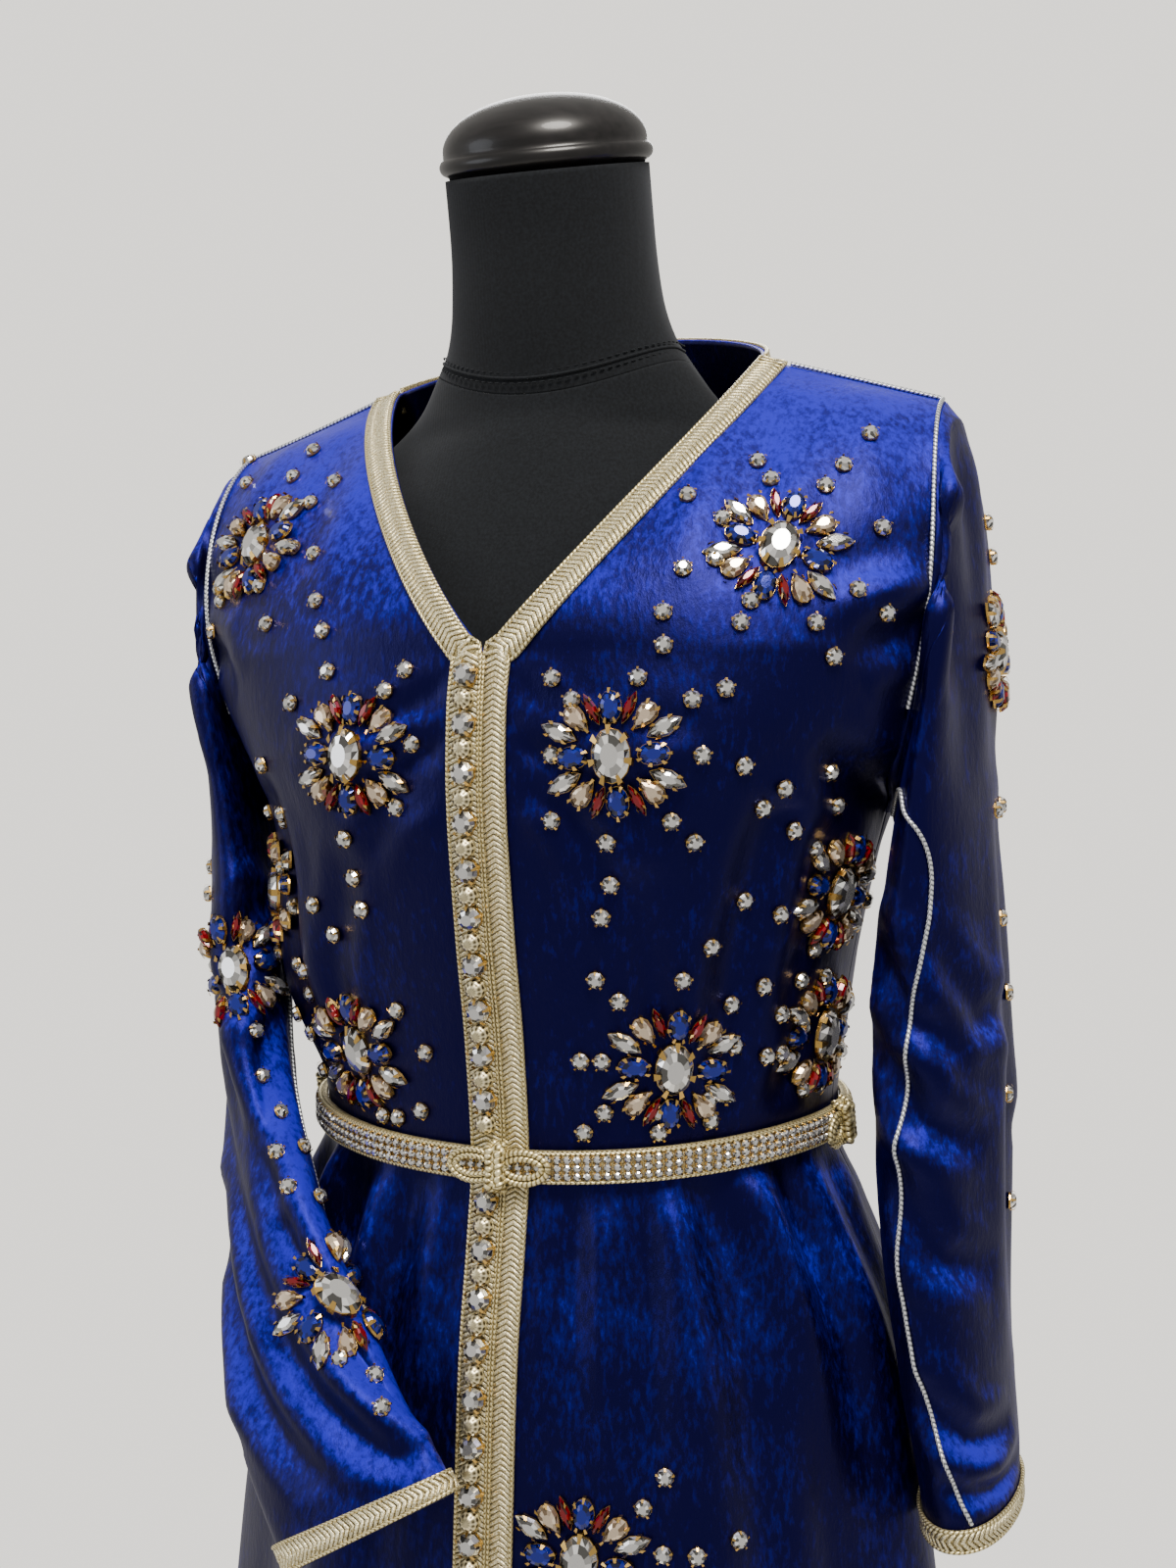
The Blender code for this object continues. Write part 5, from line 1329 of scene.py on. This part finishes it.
def make_buttons():
    """Knotted balls and claw-set crystals by turns, down the right-hand braid beside the opening."""
    sizes = bpy.context.scene.kaftan_sizes
    for name, low_z, high_z in (("upper", BELT_FRONT_Z + 0.0135, 1.262), ("lower", 0.055, BELT_FRONT_Z - 0.0135)):
        count = int((high_z - low_z) / sizes.button_pitch)
        heights = high_z - sizes.button_pitch * (np.arange(count) + 0.5)
        zero = np.zeros_like(heights)
        level = level_of(-1, zero, heights)
        u = across(-1, level, BUTTON_X)
        base, out = cloth(-1, u, level), cloth_normal(-1, u, level)
        along = tangents(base[::-1])[::-1]
        balls, crystals = [], []
        for index in range(count):
            if index % 2:
                spot = base[index] + out[index] * (BRAID_OUT + BUTTON_RADIUS * 0.95)
                balls.append((spot, out[index], along[index], (0.0102, 0.0102, 0.0102)))
            else:
                spot = base[index] + out[index] * (BRAID_OUT + 0.0034)
                crystals.append((spot, out[index], along[index], (0.0118, 0.0118, 0.0056)))
        lay("button_balls_" + name, item("ball"), "knotted", "braid", balls, ["buttons_" + name], flat=False)
        lay("button_crystals_" + name, item("round"), "clear", "rhinestone", crystals, uneven=0.6)
        lay("button_claws_" + name, item("round claws"), "gold", "rhinestone", crystals)
        shanks = [(spot - direction * 0.0030, direction, way, (0.0078, 0.0078, 0.0034))
                  for spot, direction, way, _ in crystals]
        lay("button_shanks_" + name, item("ring"), "gold", "rhinestone", shanks)


# a gem flower's stones: kind, finish, distance out from the centre to a stone's middle in mm, width and length in
# mm, and for each stone its angle from the flower's top (clockwise for the one who looks at it) and its own turn
STONE_SETS = [
    # kind       finish      out   width length  angles and turns
    ("oval", "clear", 0.0, 18.0, 25.0, ((0, 0),)),
    ("oval", "sapphire", 22.0, 10.5, 15.0, ((0, 0), (180, 0))),
    ("oval", "sapphire", 19.0, 10.5, 15.0, ((90, 0), (270, 0))),
    ("navette", "ruby", 23.0, 5.0, 16.0, ((22, 4), (338, -4), (158, -4), (202, 4))),
    ("teardrop", "champagne", 23.0, 9.5, 15.0, ((42, 180), (138, 180), (222, 180), (318, 180))),
    ("navette", "clear", 27.0, 8.5, 18.0, ((64, 0), (116, 0), (244, 0), (296, 0))),
]
FLOWER_STONES = [(kind, stone_finish, reach, angle, turn, width, length)
                 for kind, stone_finish, reach, width, length, angles in STONE_SETS for angle, turn in angles]
# how far over each flower leans, in degrees
FLOWER_LEANS = {"shoulder_left": 22, "shoulder_right": -20, "side_left": 12, "side_right": -10, "waist_left": 4,
                "bust_left": -3, "bust_right": 3, "arm_left": 14, "arm_right": -10, "elbow_right": -25,
                "forearm_right": -40, "skirt_left": 5, "waist_right": -5}


WALK_STEPS = 6


def flower_places(carrier, side, place, lean):
    """Where each stone of a flower sits: a walk over the cloth from its centre, then its spot on the creases."""
    plain, plain_normal, surface, step_a, step_b = (
        (cloth, cloth_normal, body_surface, 0.004, 0.004) if carrier == "body" else
        (sleeve, sleeve_normal, sleeve_surface, 1.0, 0.004))
    kinds, finishes, reaches, angles, turns, widths, lengths = zip(*FLOWER_STONES)
    reaches, angles, turns = np.array(reaches) * MM, np.radians(angles), np.radians(turns)
    first, second = np.full(len(kinds), float(place[0])), np.full(len(kinds), float(place[1]))
    out = plain_normal(side, first, second)
    up = up_along(out[0], lean)
    right = np.cross(up, out[0])
    way = right * np.sin(angles)[:, None] + up * np.cos(angles)[:, None]
    for _ in range(WALK_STEPS):
        here = plain(side, first, second)
        along_a = (plain(side, first + step_a, second) - here) / step_a
        along_b = (plain(side, first, second + step_b) - here) / step_b
        reach_a, reach_b = (along_a * way).sum(-1), (along_b * way).sum(-1)
        size_a, size_b, cross = (along_a ** 2).sum(-1), (along_b ** 2).sum(-1), (along_a * along_b).sum(-1)
        scale = reaches / WALK_STEPS / (size_a * size_b - cross ** 2)
        first = first + (reach_a * size_b - reach_b * cross) * scale
        second = second + (reach_b * size_a - reach_a * cross) * scale
        normal = plain_normal(side, first, second)
        way = unit(way - (way * normal).sum(-1, keepdims=True) * normal)
    points, normals = surface(side, first, second)
    normals = unit(normals * 0.7 + out * 0.3)
    along = way * np.cos(turns)[:, None] + np.cross(way, normals) * np.sin(turns)[:, None]
    for index, kind in enumerate(kinds):
        size = (widths[index] * MM, lengths[index] * MM, 0.0044 if reaches[index] else 0.0058)
        yield kind, finishes[index], (points[index] + normals[index] * (CLOTH / 2 + 0.0012), normals[index],
                                      along[index], size)


def make_flower(name, carrier, side, place):
    """A gem flower: claw-set stones round a clear oval."""
    stones, claws = {}, {}
    for kind, stone_finish, spot in flower_places(carrier, side, place, FLOWER_LEANS.get(name, 0)):
        stones.setdefault((kind, stone_finish), []).append(spot)
        claws.setdefault(kind, []).append(spot)
    nodes = ["flower_" + name]
    for (kind, stone_finish), spots in stones.items():
        lay(f"gems_{name}_{kind}_{stone_finish}", item(kind), stone_finish, "gem", spots, nodes)
        nodes = []
    for kind, spots in claws.items():
        lay(f"claws_{name}_{kind}", item(kind + " claws"), "gold", "gem", spots)


# single crystals scattered between the flowers: height in cm, and distances from the opening in cm
LEFT_CRYSTALS = [
    (137.0, (9.0,)), (136.0, (4.5,)), (135.5, (9.0,)), (135.0, (6.0,)), (134.5, (9.0,)), (134.0, (3.0,)),
    (133.0, (5.5,)), (132.5, (13.5,)), (131.0, (7.0,)), (130.5, (6.0,)), (129.5, (15.0,)), (129.0, (10.5,)),
    (128.5, (7.0, 17.5)), (128.0, (11.0, 14.5)), (127.0, (8.5,)), (126.5, (16.5,)), (125.5, (3.5, 7.5)),
    (125.0, (11.5,)), (124.5, (4.5, 10.0)), (122.0, (3.5, 10.5)), (121.5, (12.5,)), (121.0, (17.5,)),
    (120.5, (14.5,)), (119.5, (13.5, 18.0)), (119.0, (3.5, 9.0)), (118.5, (15.0,)), (118.0, (6.0, 10.0)),
    (117.5, (16.5,)), (116.0, (6.0,)), (115.0, (12.5,)), (114.5, (5.5, 14.0, 15.5, 22.5)), (113.0, (10.5,)),
    (112.5, (16.5,)), (111.5, (5.0, 9.0)), (111.0, (13.0, 15.5, 17.5)), (110.5, (6.0,)), (110.0, (11.5, 18.0)),
    (109.5, (14.0,)), (108.5, (16.0,)), (108.0, (11.5,)), (107.5, (4.0, 5.0, 13.0, 14.0)), (105.5, (10.0, 15.5)),
    (105.0, (5.0, 7.5)), (104.5, (10.0,)), (104.0, (4.0, 7.5)), (88.5, (8.5,)), (87.0, (7.5,)), (85.5, (12.0,)),
    (85.0, (8.5, 10.0)), (79.0, (4.0, 8.0)), (76.0, (6.0,)), (72.0, (5.0,)),
]
RIGHT_CRYSTALS = [
    (138.0, (5.5, 12.0)), (136.5, (7.0, 11.0)), (136.0, (4.0,)), (135.0, (6.0,)), (132.5, (8.0,)),
    (132.0, (6.5,)), (130.5, (11.5,)), (130.0, (16.0,)), (129.5, (7.5,)), (128.5, (12.0, 19.0)), (128.0, (8.0,)),
    (126.0, (4.0, 8.5)), (125.0, (5.0,)), (124.5, (11.0,)), (122.5, (3.5,)), (121.5, (14.5,)), (119.5, (4.5,)),
    (119.0, (13.5, 17.5)), (118.5, (15.0,)), (118.0, (7.5,)), (116.0, (7.5, 15.5)), (114.5, (7.0, 10.5)),
    (113.0, (9.5,)), (111.5, (16.5,)), (111.0, (12.0, 14.0)), (109.5, (5.5, 13.0)), (108.5, (14.5,)),
    (107.5, (4.0, 13.5, 17.0)), (105.5, (13.0,)), (104.5, (4.5,)), (104.0, (6.0, 7.0)), (103.5, (17.5,)),
    (88.5, (9.5,)), (87.0, (4.0,)), (85.5, (10.5,)), (80.0, (3.5, 8.0)), (77.0, (6.5,)), (73.0, (5.0,)),
]
# crystals down the sleeves: side, turn round the tube, place down the sleeve
SLEEVE_CRYSTALS = [
    (+1, -33, 0.48), (+1, -36, 0.53), (+1, -28, 0.19), (+1, -38, 0.21), (+1, -20, 0.41), (+1, -42, 0.40),
    (+1, -30, 0.60), (+1, -36, 0.68),
    (-1, 99, 0.50), (-1, 105, 0.53), (-1, 111, 0.56), (-1, 117, 0.59), (-1, 112, 0.63), (-1, 20, 0.17),
    (-1, -8, 0.19), (-1, 10, 0.41), (-1, 40, 0.42), (-1, 84, 0.59), (-1, 80, 0.62), (-1, 50, 0.78),
    (-1, 76, 0.80), (-1, 60, 0.84),
]


def make_crystals():
    """Single crystals in gold cups, scattered between the flowers."""
    for side, chart, hand in ((1, LEFT_CRYSTALS, "left"), (-1, RIGHT_CRYSTALS, "right")):
        places = []
        for height, distances in chart:
            for distance in distances:
                point, out = spot_on_front(side, distance, height)
                places.append(crystal_place(point, out))
        for sleeve_side, turn, down in SLEEVE_CRYSTALS:
            if sleeve_side == side:
                point, out = sleeve_surface(side, np.array([float(turn)]), np.array([down]))
                places.append(crystal_place(point[0], out[0]))
        lay("crystals_" + hand, item("round"), "clear", "rhinestone", places, uneven=0.8)
        lay("crystal_cups_" + hand, item("round claws"), "gold", "rhinestone", places)


def crystal_place(point, out):
    width = bpy.context.scene.kaftan_sizes.crystal_width
    return (point + out * (CLOTH / 2 + 0.0008), out, up_along(out), (width, width, width * 0.42))


# ---- the belt ------------------------------------------------------------------------------------------------

def make_belt():
    """A cloth core with three rows of ring-set crystals between two corded edges."""
    u = np.linspace(0, 2, 160)
    rows = []
    for up, out in ((-0.5, -BELT_THICK), (-0.5, -0.0016), (-0.25, -0.0004), (0.25, -0.0004), (0.5, -0.0016),
                    (0.5, -BELT_THICK)):
        left = belt_place(1, u, np.full_like(u, up * BELT_HEIGHT), np.full_like(u, out))
        right = belt_place(-1, u[::-1], np.full_like(u, up * BELT_HEIGHT), np.full_like(u, out))
        rows.append(np.concatenate([left, right[1:-1]]))
    mesh = grid_mesh("belt_core", np.stack(rows), closed=True)
    core = put("belt_core", mesh, "braid", "rhinestone", ["belt"])
    face_out(mesh, (0, 0.0, 1.03))
    for name, up in (("upper", 0.44), ("lower", -0.44)):
        left = belt_place(1, u, np.full_like(u, up * BELT_HEIGHT), np.full_like(u, -0.0006))
        right = belt_place(-1, u[::-1], np.full_like(u, up * BELT_HEIGHT), np.full_like(u, -0.0006))
        cord("belt_cord_" + name, [np.concatenate([left, right[1:-1]])], 0.0011, "gold cord", "braid",
             cyclic=True)
    places = []
    width = 0.0044
    for row in (-1, 0, 1):
        for side in (1, -1):
            line = belt_place(side, u, np.full_like(u, row * 0.0040), np.full_like(u, -0.0004))
            middle = line - belt_place(side, u, np.full_like(u, row * 0.0040), np.full_like(u, -0.0030))
            spots, outs = even_path(line, middle, pitch=0.0048)
            for index, (spot, out) in enumerate(zip(spots[:-1], outs)):
                if index or side > 0:
                    out = unit(out)
                    places.append((spot, out, up_along(out), (width, width, 0.0022)))
    lay("belt_crystals", item("bead"), "clear", "rhinestone", places, uneven=0.8)
    lay("belt_rings", item("ring"), "gold", "rhinestone", places)
    return core


def make_knot(hand, side, place, half_width):
    """Two flat loops of doubled cord on the belt, bound in the middle by an upright plait of three strands."""
    scale = 1 / WAIST_RADIUS / (math.pi / 2)      # from metres round the waist to u
    lean = 0.0 if hand == "front" else 0.30

    def spot(wide, tall, out):
        return knot_point(side, place, (wide * math.cos(lean) - tall * math.sin(lean)) * scale,
                          tall * math.cos(lean) + wide * math.sin(lean), out)

    routes = []
    for sign in (-1, 1):
        for half, height in ((half_width * 0.5, 0.0076), (half_width * 0.5 - 0.0031, 0.0045)):
            routes.append([spot(sign * (half_width * 0.5 + half * math.cos(turn)), height * math.sin(turn),
                                KNOT_CORD + 0.0004) for turn in np.radians(np.arange(0, 360, 10))])
    cord("knot_loops_" + hand, routes, KNOT_CORD * 0.72, "gold cord", "braid", ["belt_knot_" + hand], sides=8,
         cyclic=True)
    strands = []
    for strand in range(3):
        route = []
        for part in np.linspace(-1, 1, 49):
            turn = 2 * math.pi * (1.25 * part + strand / 3)
            wide = 0.0040 * (0.72 + 0.28 * part ** 2) * math.sin(turn)
            out = 0.0058 + 0.0013 * math.sin(2 * turn) - 0.0052 * smooth((abs(part) - 0.80) / 0.20)
            route.append(spot(wide, 0.0112 * part, out))
        strands.append(route)
    cord("knot_plait_" + hand, strands, KNOT_CORD * 0.92, "gold cord", "braid", ["belt_braid_" + hand], sides=8)


def knot_point(side, place, shift, up, out):
    spot = place + shift
    sign = -side if spot < 0 else side
    return belt_place(sign, np.array([abs(spot)]), np.array([up]), np.array([out]))[0]


# ---- the form ------------------------------------------------------------------------------------------------

def make_form():
    """The padded torso and neck, their jersey cover's seam, the cap, the pole and the base."""
    for name, rows, top_bow, count in (("torso", TORSO, 2, 150), ("neck", NECK, 1, 60)):
        rings = np.array(form_rings(rows, 96, count, top_bow))
        mesh = bpy.data.meshes.new("padded_" + name)
        grid = grid_mesh("grid", rings, closed=True)
        shape = bmesh.new()
        shape.from_mesh(grid)
        shape.verts.ensure_lookup_table()
        shape.faces.new([shape.verts[index] for index in range(96)])
        shape.faces.new([shape.verts[len(rings) * 96 - 1 - index] for index in range(96)])
        bmesh.ops.recalc_face_normals(shape, faces=shape.faces)
        shape.to_mesh(mesh)
        shape.free()
        bpy.data.meshes.remove(grid)
        put("padded_" + name, mesh, "jersey", "jersey", ["form_" + name])
    seam = np.array(form_rings(NECK, 120, 60, 1)[8])
    middle = seam.mean(0)
    out = unit((seam - middle) * np.array([1, 1, 0.2]))
    cord("neck_seam", [seam + out * 0.0002], 0.0008, "jersey", "jersey", cyclic=True, sides=6)
    spots, outs, ways = even_path(seam, out, tangents(seam), pitch=0.0042)
    for name, up in (("above", 0.0026), ("below", -0.0026)):
        places = [(spot + np.array([0, 0, up]) + direction * (0.0003 - 0.12 * up), direction, way,
                   (0.0009, 0.0030, 0.0006)) for spot, direction, way in zip(spots, outs, ways)]
        lay("neck_stitches_" + name, item("bead"), "jersey", "jersey", places, flat=False)
    make_cap()
    make_stand()


def make_cap():
    """The lacquered cap: a domed top over a rounded lip."""
    profile = [(0.0, 0.037)]
    for turn in np.radians(np.linspace(3, 90, 24)):
        profile.append((0.0518 * math.sin(turn) ** 0.92, 0.012 + 0.025 * math.cos(turn)))
    for turn in np.radians(np.linspace(60, -70, 12)):
        profile.append((0.0496 + 0.0046 * math.cos(turn), 0.0058 + 0.0046 * math.sin(turn)))
    profile += [(0.0500, 0.0008), (0.0490, -0.0016), (0.0, -0.0016)]
    mesh = turned_mesh("turned_cap", profile, 96)
    mesh.transform(Matrix.Translation(CAP_CENTRE) @ Matrix.Rotation(CAP_TILT, 4, "X"))
    put("turned_cap", mesh, "lacquer", "lacquered_wood", ["form_cap"])


def make_stand():
    """A round base plate with an eased edge, a collar, and the pole."""
    top = TORSO[0][0]
    profile = [(0.0, BASE_THICK), (0.030, BASE_THICK)]
    profile += [(BASE_RADIUS - 0.008 + 0.008 * math.sin(turn), BASE_THICK - 0.008 + 0.008 * math.cos(turn))
                for turn in np.radians(np.linspace(0, 90, 9))]
    profile += [(BASE_RADIUS, 0.0015), (BASE_RADIUS - 0.0015, 0.0), (0.0, 0.0)]
    put("base_plate", turned_mesh("base_plate", profile, 128), "steel", "black_steel", ["form_base"])
    pole = [(0.0, top), (POLE_RADIUS, top), (POLE_RADIUS, 0.050), (0.0190, 0.046), (0.0225, 0.040),
            (0.0225, BASE_THICK + 0.004), (0.0260, BASE_THICK + 0.0005), (0.0, BASE_THICK + 0.0005)]
    put("stand_pole", turned_mesh("stand_pole", pole, 48), "steel", "black_steel", ["form_pole"])


# ---- stage ---------------------------------------------------------------------------------------------------

def area_light(name, place, target, width, power, colour="#FFFFFF"):
    light = bpy.data.lights.new(name, "AREA")
    light.shape = "DISK"
    light.size = width
    light.energy = power
    light.color = linear(colour)
    thing = bpy.data.objects.new(name, light)
    thing.location = place
    thing.rotation_euler = (Vector(target) - Vector(place)).to_track_quat("-Z", "Y").to_euler()
    bpy.context.scene.collection.objects.link(thing)


def make_stage():
    floor = bpy.data.meshes.new("floor")
    floor.from_pydata([(-2, -2, 0), (2, -2, 0), (2, 2, 0), (-2, 2, 0)], [], [(0, 1, 2, 3)])
    thing = bpy.data.objects.new("floor", floor)
    bpy.context.scene.collection.objects.link(thing)
    floor.materials.append(studio_paint("pale studio floor", "#E9E7E2", (0.8, 1.6)))
    world = bpy.data.worlds.new("studio")
    bpy.context.scene.world = world
    world.use_nodes = True
    tree = world.node_tree
    backdrop = tree.nodes["Background"]
    backdrop.inputs["Color"].default_value = (*linear("#F3EFE8"), 1.0)
    # the wall behind the form is brighter than the light that the room throws on it
    seen = add_node(tree, "ShaderNodeLightPath")
    level = add_node(tree, "ShaderNodeMapRange", {"To Min": 0.72, "To Max": 1.75},
                     {"Value": (seen, "Is Camera Ray")})
    tree.links.new(level.outputs["Result"], backdrop.inputs["Strength"])
    area_light("key", (0.7, -1.2, 3.0), (0, 0, 1.2), 0.9, 84.0, "#FFF9F0")
    area_light("fill", (-2.2, -1.6, 1.8), (0, 0, 1.1), 1.6, 16.0, "#F0F5FF")
    area_light("back", (-0.8, 2.2, 2.6), (0, 0, 1.2), 1.2, 30.0)
    make_camera()


CAMERA_TURN = math.radians(20.0)     # how far round to the wearer's left the camera stands
CAMERA_PITCH = math.radians(1.8)     # how far it looks down
CAMERA_ROLL = math.radians(-0.3)
CAMERA_DISTANCE = 1.042              # from the garment's upright middle line
CAMERA_HEIGHT = 1.235
CAMERA_SHIFT = 0.0035
CAMERA_LENS = 45.0                   # on a frame 36 mm high


def make_camera():
    ahead = Vector((-math.sin(CAMERA_TURN), math.cos(CAMERA_TURN), 0))
    right = Vector((math.cos(CAMERA_TURN), math.sin(CAMERA_TURN), 0))
    up = Vector((0, 0, 1))
    view = ahead * math.cos(CAMERA_PITCH) - up * math.sin(CAMERA_PITCH)
    top = up * math.cos(CAMERA_PITCH) + ahead * math.sin(CAMERA_PITCH)
    level = right * math.cos(CAMERA_ROLL) + top * math.sin(CAMERA_ROLL)
    top = -right * math.sin(CAMERA_ROLL) + top * math.cos(CAMERA_ROLL)
    lens = bpy.data.cameras.new("camera")
    lens.sensor_fit = "VERTICAL"
    lens.sensor_height = 36.0
    lens.lens = CAMERA_LENS
    camera = bpy.data.objects.new("camera", lens)
    place = -ahead * CAMERA_DISTANCE + right * CAMERA_SHIFT + up * CAMERA_HEIGHT
    camera.matrix_world = Matrix.Translation(place) @ Matrix((level, top, -view)).transposed().to_4x4()
    bpy.context.scene.collection.objects.link(camera)
    bpy.context.scene.camera = camera


# ---- add-on --------------------------------------------------------------------------------------------------

def length_property(name, description, length):
    return bpy.props.FloatProperty(name=name, description=description, default=length, unit="LENGTH")


def colour_property(name, description, code):
    return bpy.props.FloatVectorProperty(name=name, description=description, default=linear(code), subtype="COLOR")


class KaftanSizes(bpy.types.PropertyGroup):
    button_pitch: length_property("Button pitch", "From one button's middle to the next", 0.0112)
    crystal_width: length_property("Crystal width", "Across a single crystal", 0.0082)
    plait_pitch: length_property("Plait pitch", "From one plait of the braid to the next", 0.0027)


class KaftanColours(bpy.types.PropertyGroup):
    # the middle of the velvet's colour ramp: its own royal blue, between the painted shade and the painted light
    velvet: colour_property("Velvet", "The pile looked at on the slant", "#09044C")
    # the dark end of the velvet's colour ramp: painted shade on cloth that hangs upright or faces down
    velvet_painted_shade: colour_property("Velvet, deep", "The pile looked at straight on", "#030114")
    # the light end of the velvet's colour ramp: painted light on up-facing cloth, which the crushed flecks also reach
    velvet_painted_light_and_flecks: colour_property("Velvet, light", "Crushed flecks of the pile", "#201CA6")
    velvet_sheen: colour_property("Velvet sheen", "Light caught by the pile's tips", "#4A3CF0")


class BuildCloth(bpy.types.Operator):
    """Build the kaftan's velvet panels and sleeves"""
    bl_idname = "kaftan.cloth"
    bl_label = "Velvet"

    def execute(self, context):
        make_back()
        for side in (1, -1):
            make_front(side)
            make_sleeve(side)
        return {"FINISHED"}


class BuildTrim(bpy.types.Operator):
    """Build the braids and the silver piping"""
    bl_idname = "kaftan.trim"
    bl_label = "Braid and piping"

    def execute(self, context):
        make_back_braid()
        for side in (1, -1):
            make_front_braid(side)
            make_cuff_braid(side)
            make_piping(side)
        return {"FINISHED"}


class BuildButtons(bpy.types.Operator):
    """Build the ball buttons and crystal buttons"""
    bl_idname = "kaftan.buttons"
    bl_label = "Buttons"

    def execute(self, context):
        make_buttons()
        return {"FINISHED"}


class BuildStones(bpy.types.Operator):
    """Build the gem flowers and the single crystals"""
    bl_idname = "kaftan.stones"
    bl_label = "Flowers and crystals"

    def execute(self, context):
        for entry in FLOWERS:
            make_flower(*entry)
        make_crystals()
        return {"FINISHED"}


class BuildBelt(bpy.types.Operator):
    """Build the crystal belt and its knots"""
    bl_idname = "kaftan.belt"
    bl_label = "Belt"

    def execute(self, context):
        make_belt()
        make_knot("front", 1, 0.0, 0.0255)
        make_knot("left", 1, 0.93, 0.0200)
        make_knot("right", -1, 0.93, 0.0200)
        return {"FINISHED"}


class BuildForm(bpy.types.Operator):
    """Build the dress form and its stand"""
    bl_idname = "kaftan.form"
    bl_label = "Dress form"

    def execute(self, context):
        make_form()
        return {"FINISHED"}


class BuildStage(bpy.types.Operator):
    """Build the floor, the lights and the camera"""
    bl_idname = "kaftan.stage"
    bl_label = "Stage"

    def execute(self, context):
        make_stage()
        return {"FINISHED"}


BUILDERS = (BuildStage, BuildCloth, BuildTrim, BuildButtons, BuildStones, BuildBelt, BuildForm)


class KaftanPanel(bpy.types.Panel):
    """Lists the builders and the sizes and colours they use"""
    bl_idname = "VIEW3D_PT_kaftan"
    bl_label = "Kaftan"
    bl_space_type = "VIEW_3D"
    bl_region_type = "UI"
    bl_category = "Kaftan"

    def draw(self, context):
        for group in (context.scene.kaftan_sizes, context.scene.kaftan_colours):
            for key in group.bl_rna.properties.keys():
                if key not in ("rna_type", "name"):
                    self.layout.prop(group, key)
        for builder in BUILDERS:
            self.layout.operator(builder.bl_idname)


CLASSES = (KaftanSizes, KaftanColours, *BUILDERS, KaftanPanel)


def register():
    for one in CLASSES:
        bpy.utils.register_class(one)
    bpy.types.Scene.kaftan_sizes = bpy.props.PointerProperty(type=KaftanSizes)
    bpy.types.Scene.kaftan_colours = bpy.props.PointerProperty(type=KaftanColours)


def unregister():
    del bpy.types.Scene.kaftan_colours
    del bpy.types.Scene.kaftan_sizes
    for one in reversed(CLASSES):
        bpy.utils.unregister_class(one)


def main():
    register()
    for builder in BUILDERS:
        group, name = builder.bl_idname.split(".")
        getattr(getattr(bpy.ops, group), name)()


if __name__ == "__main__":
    main()
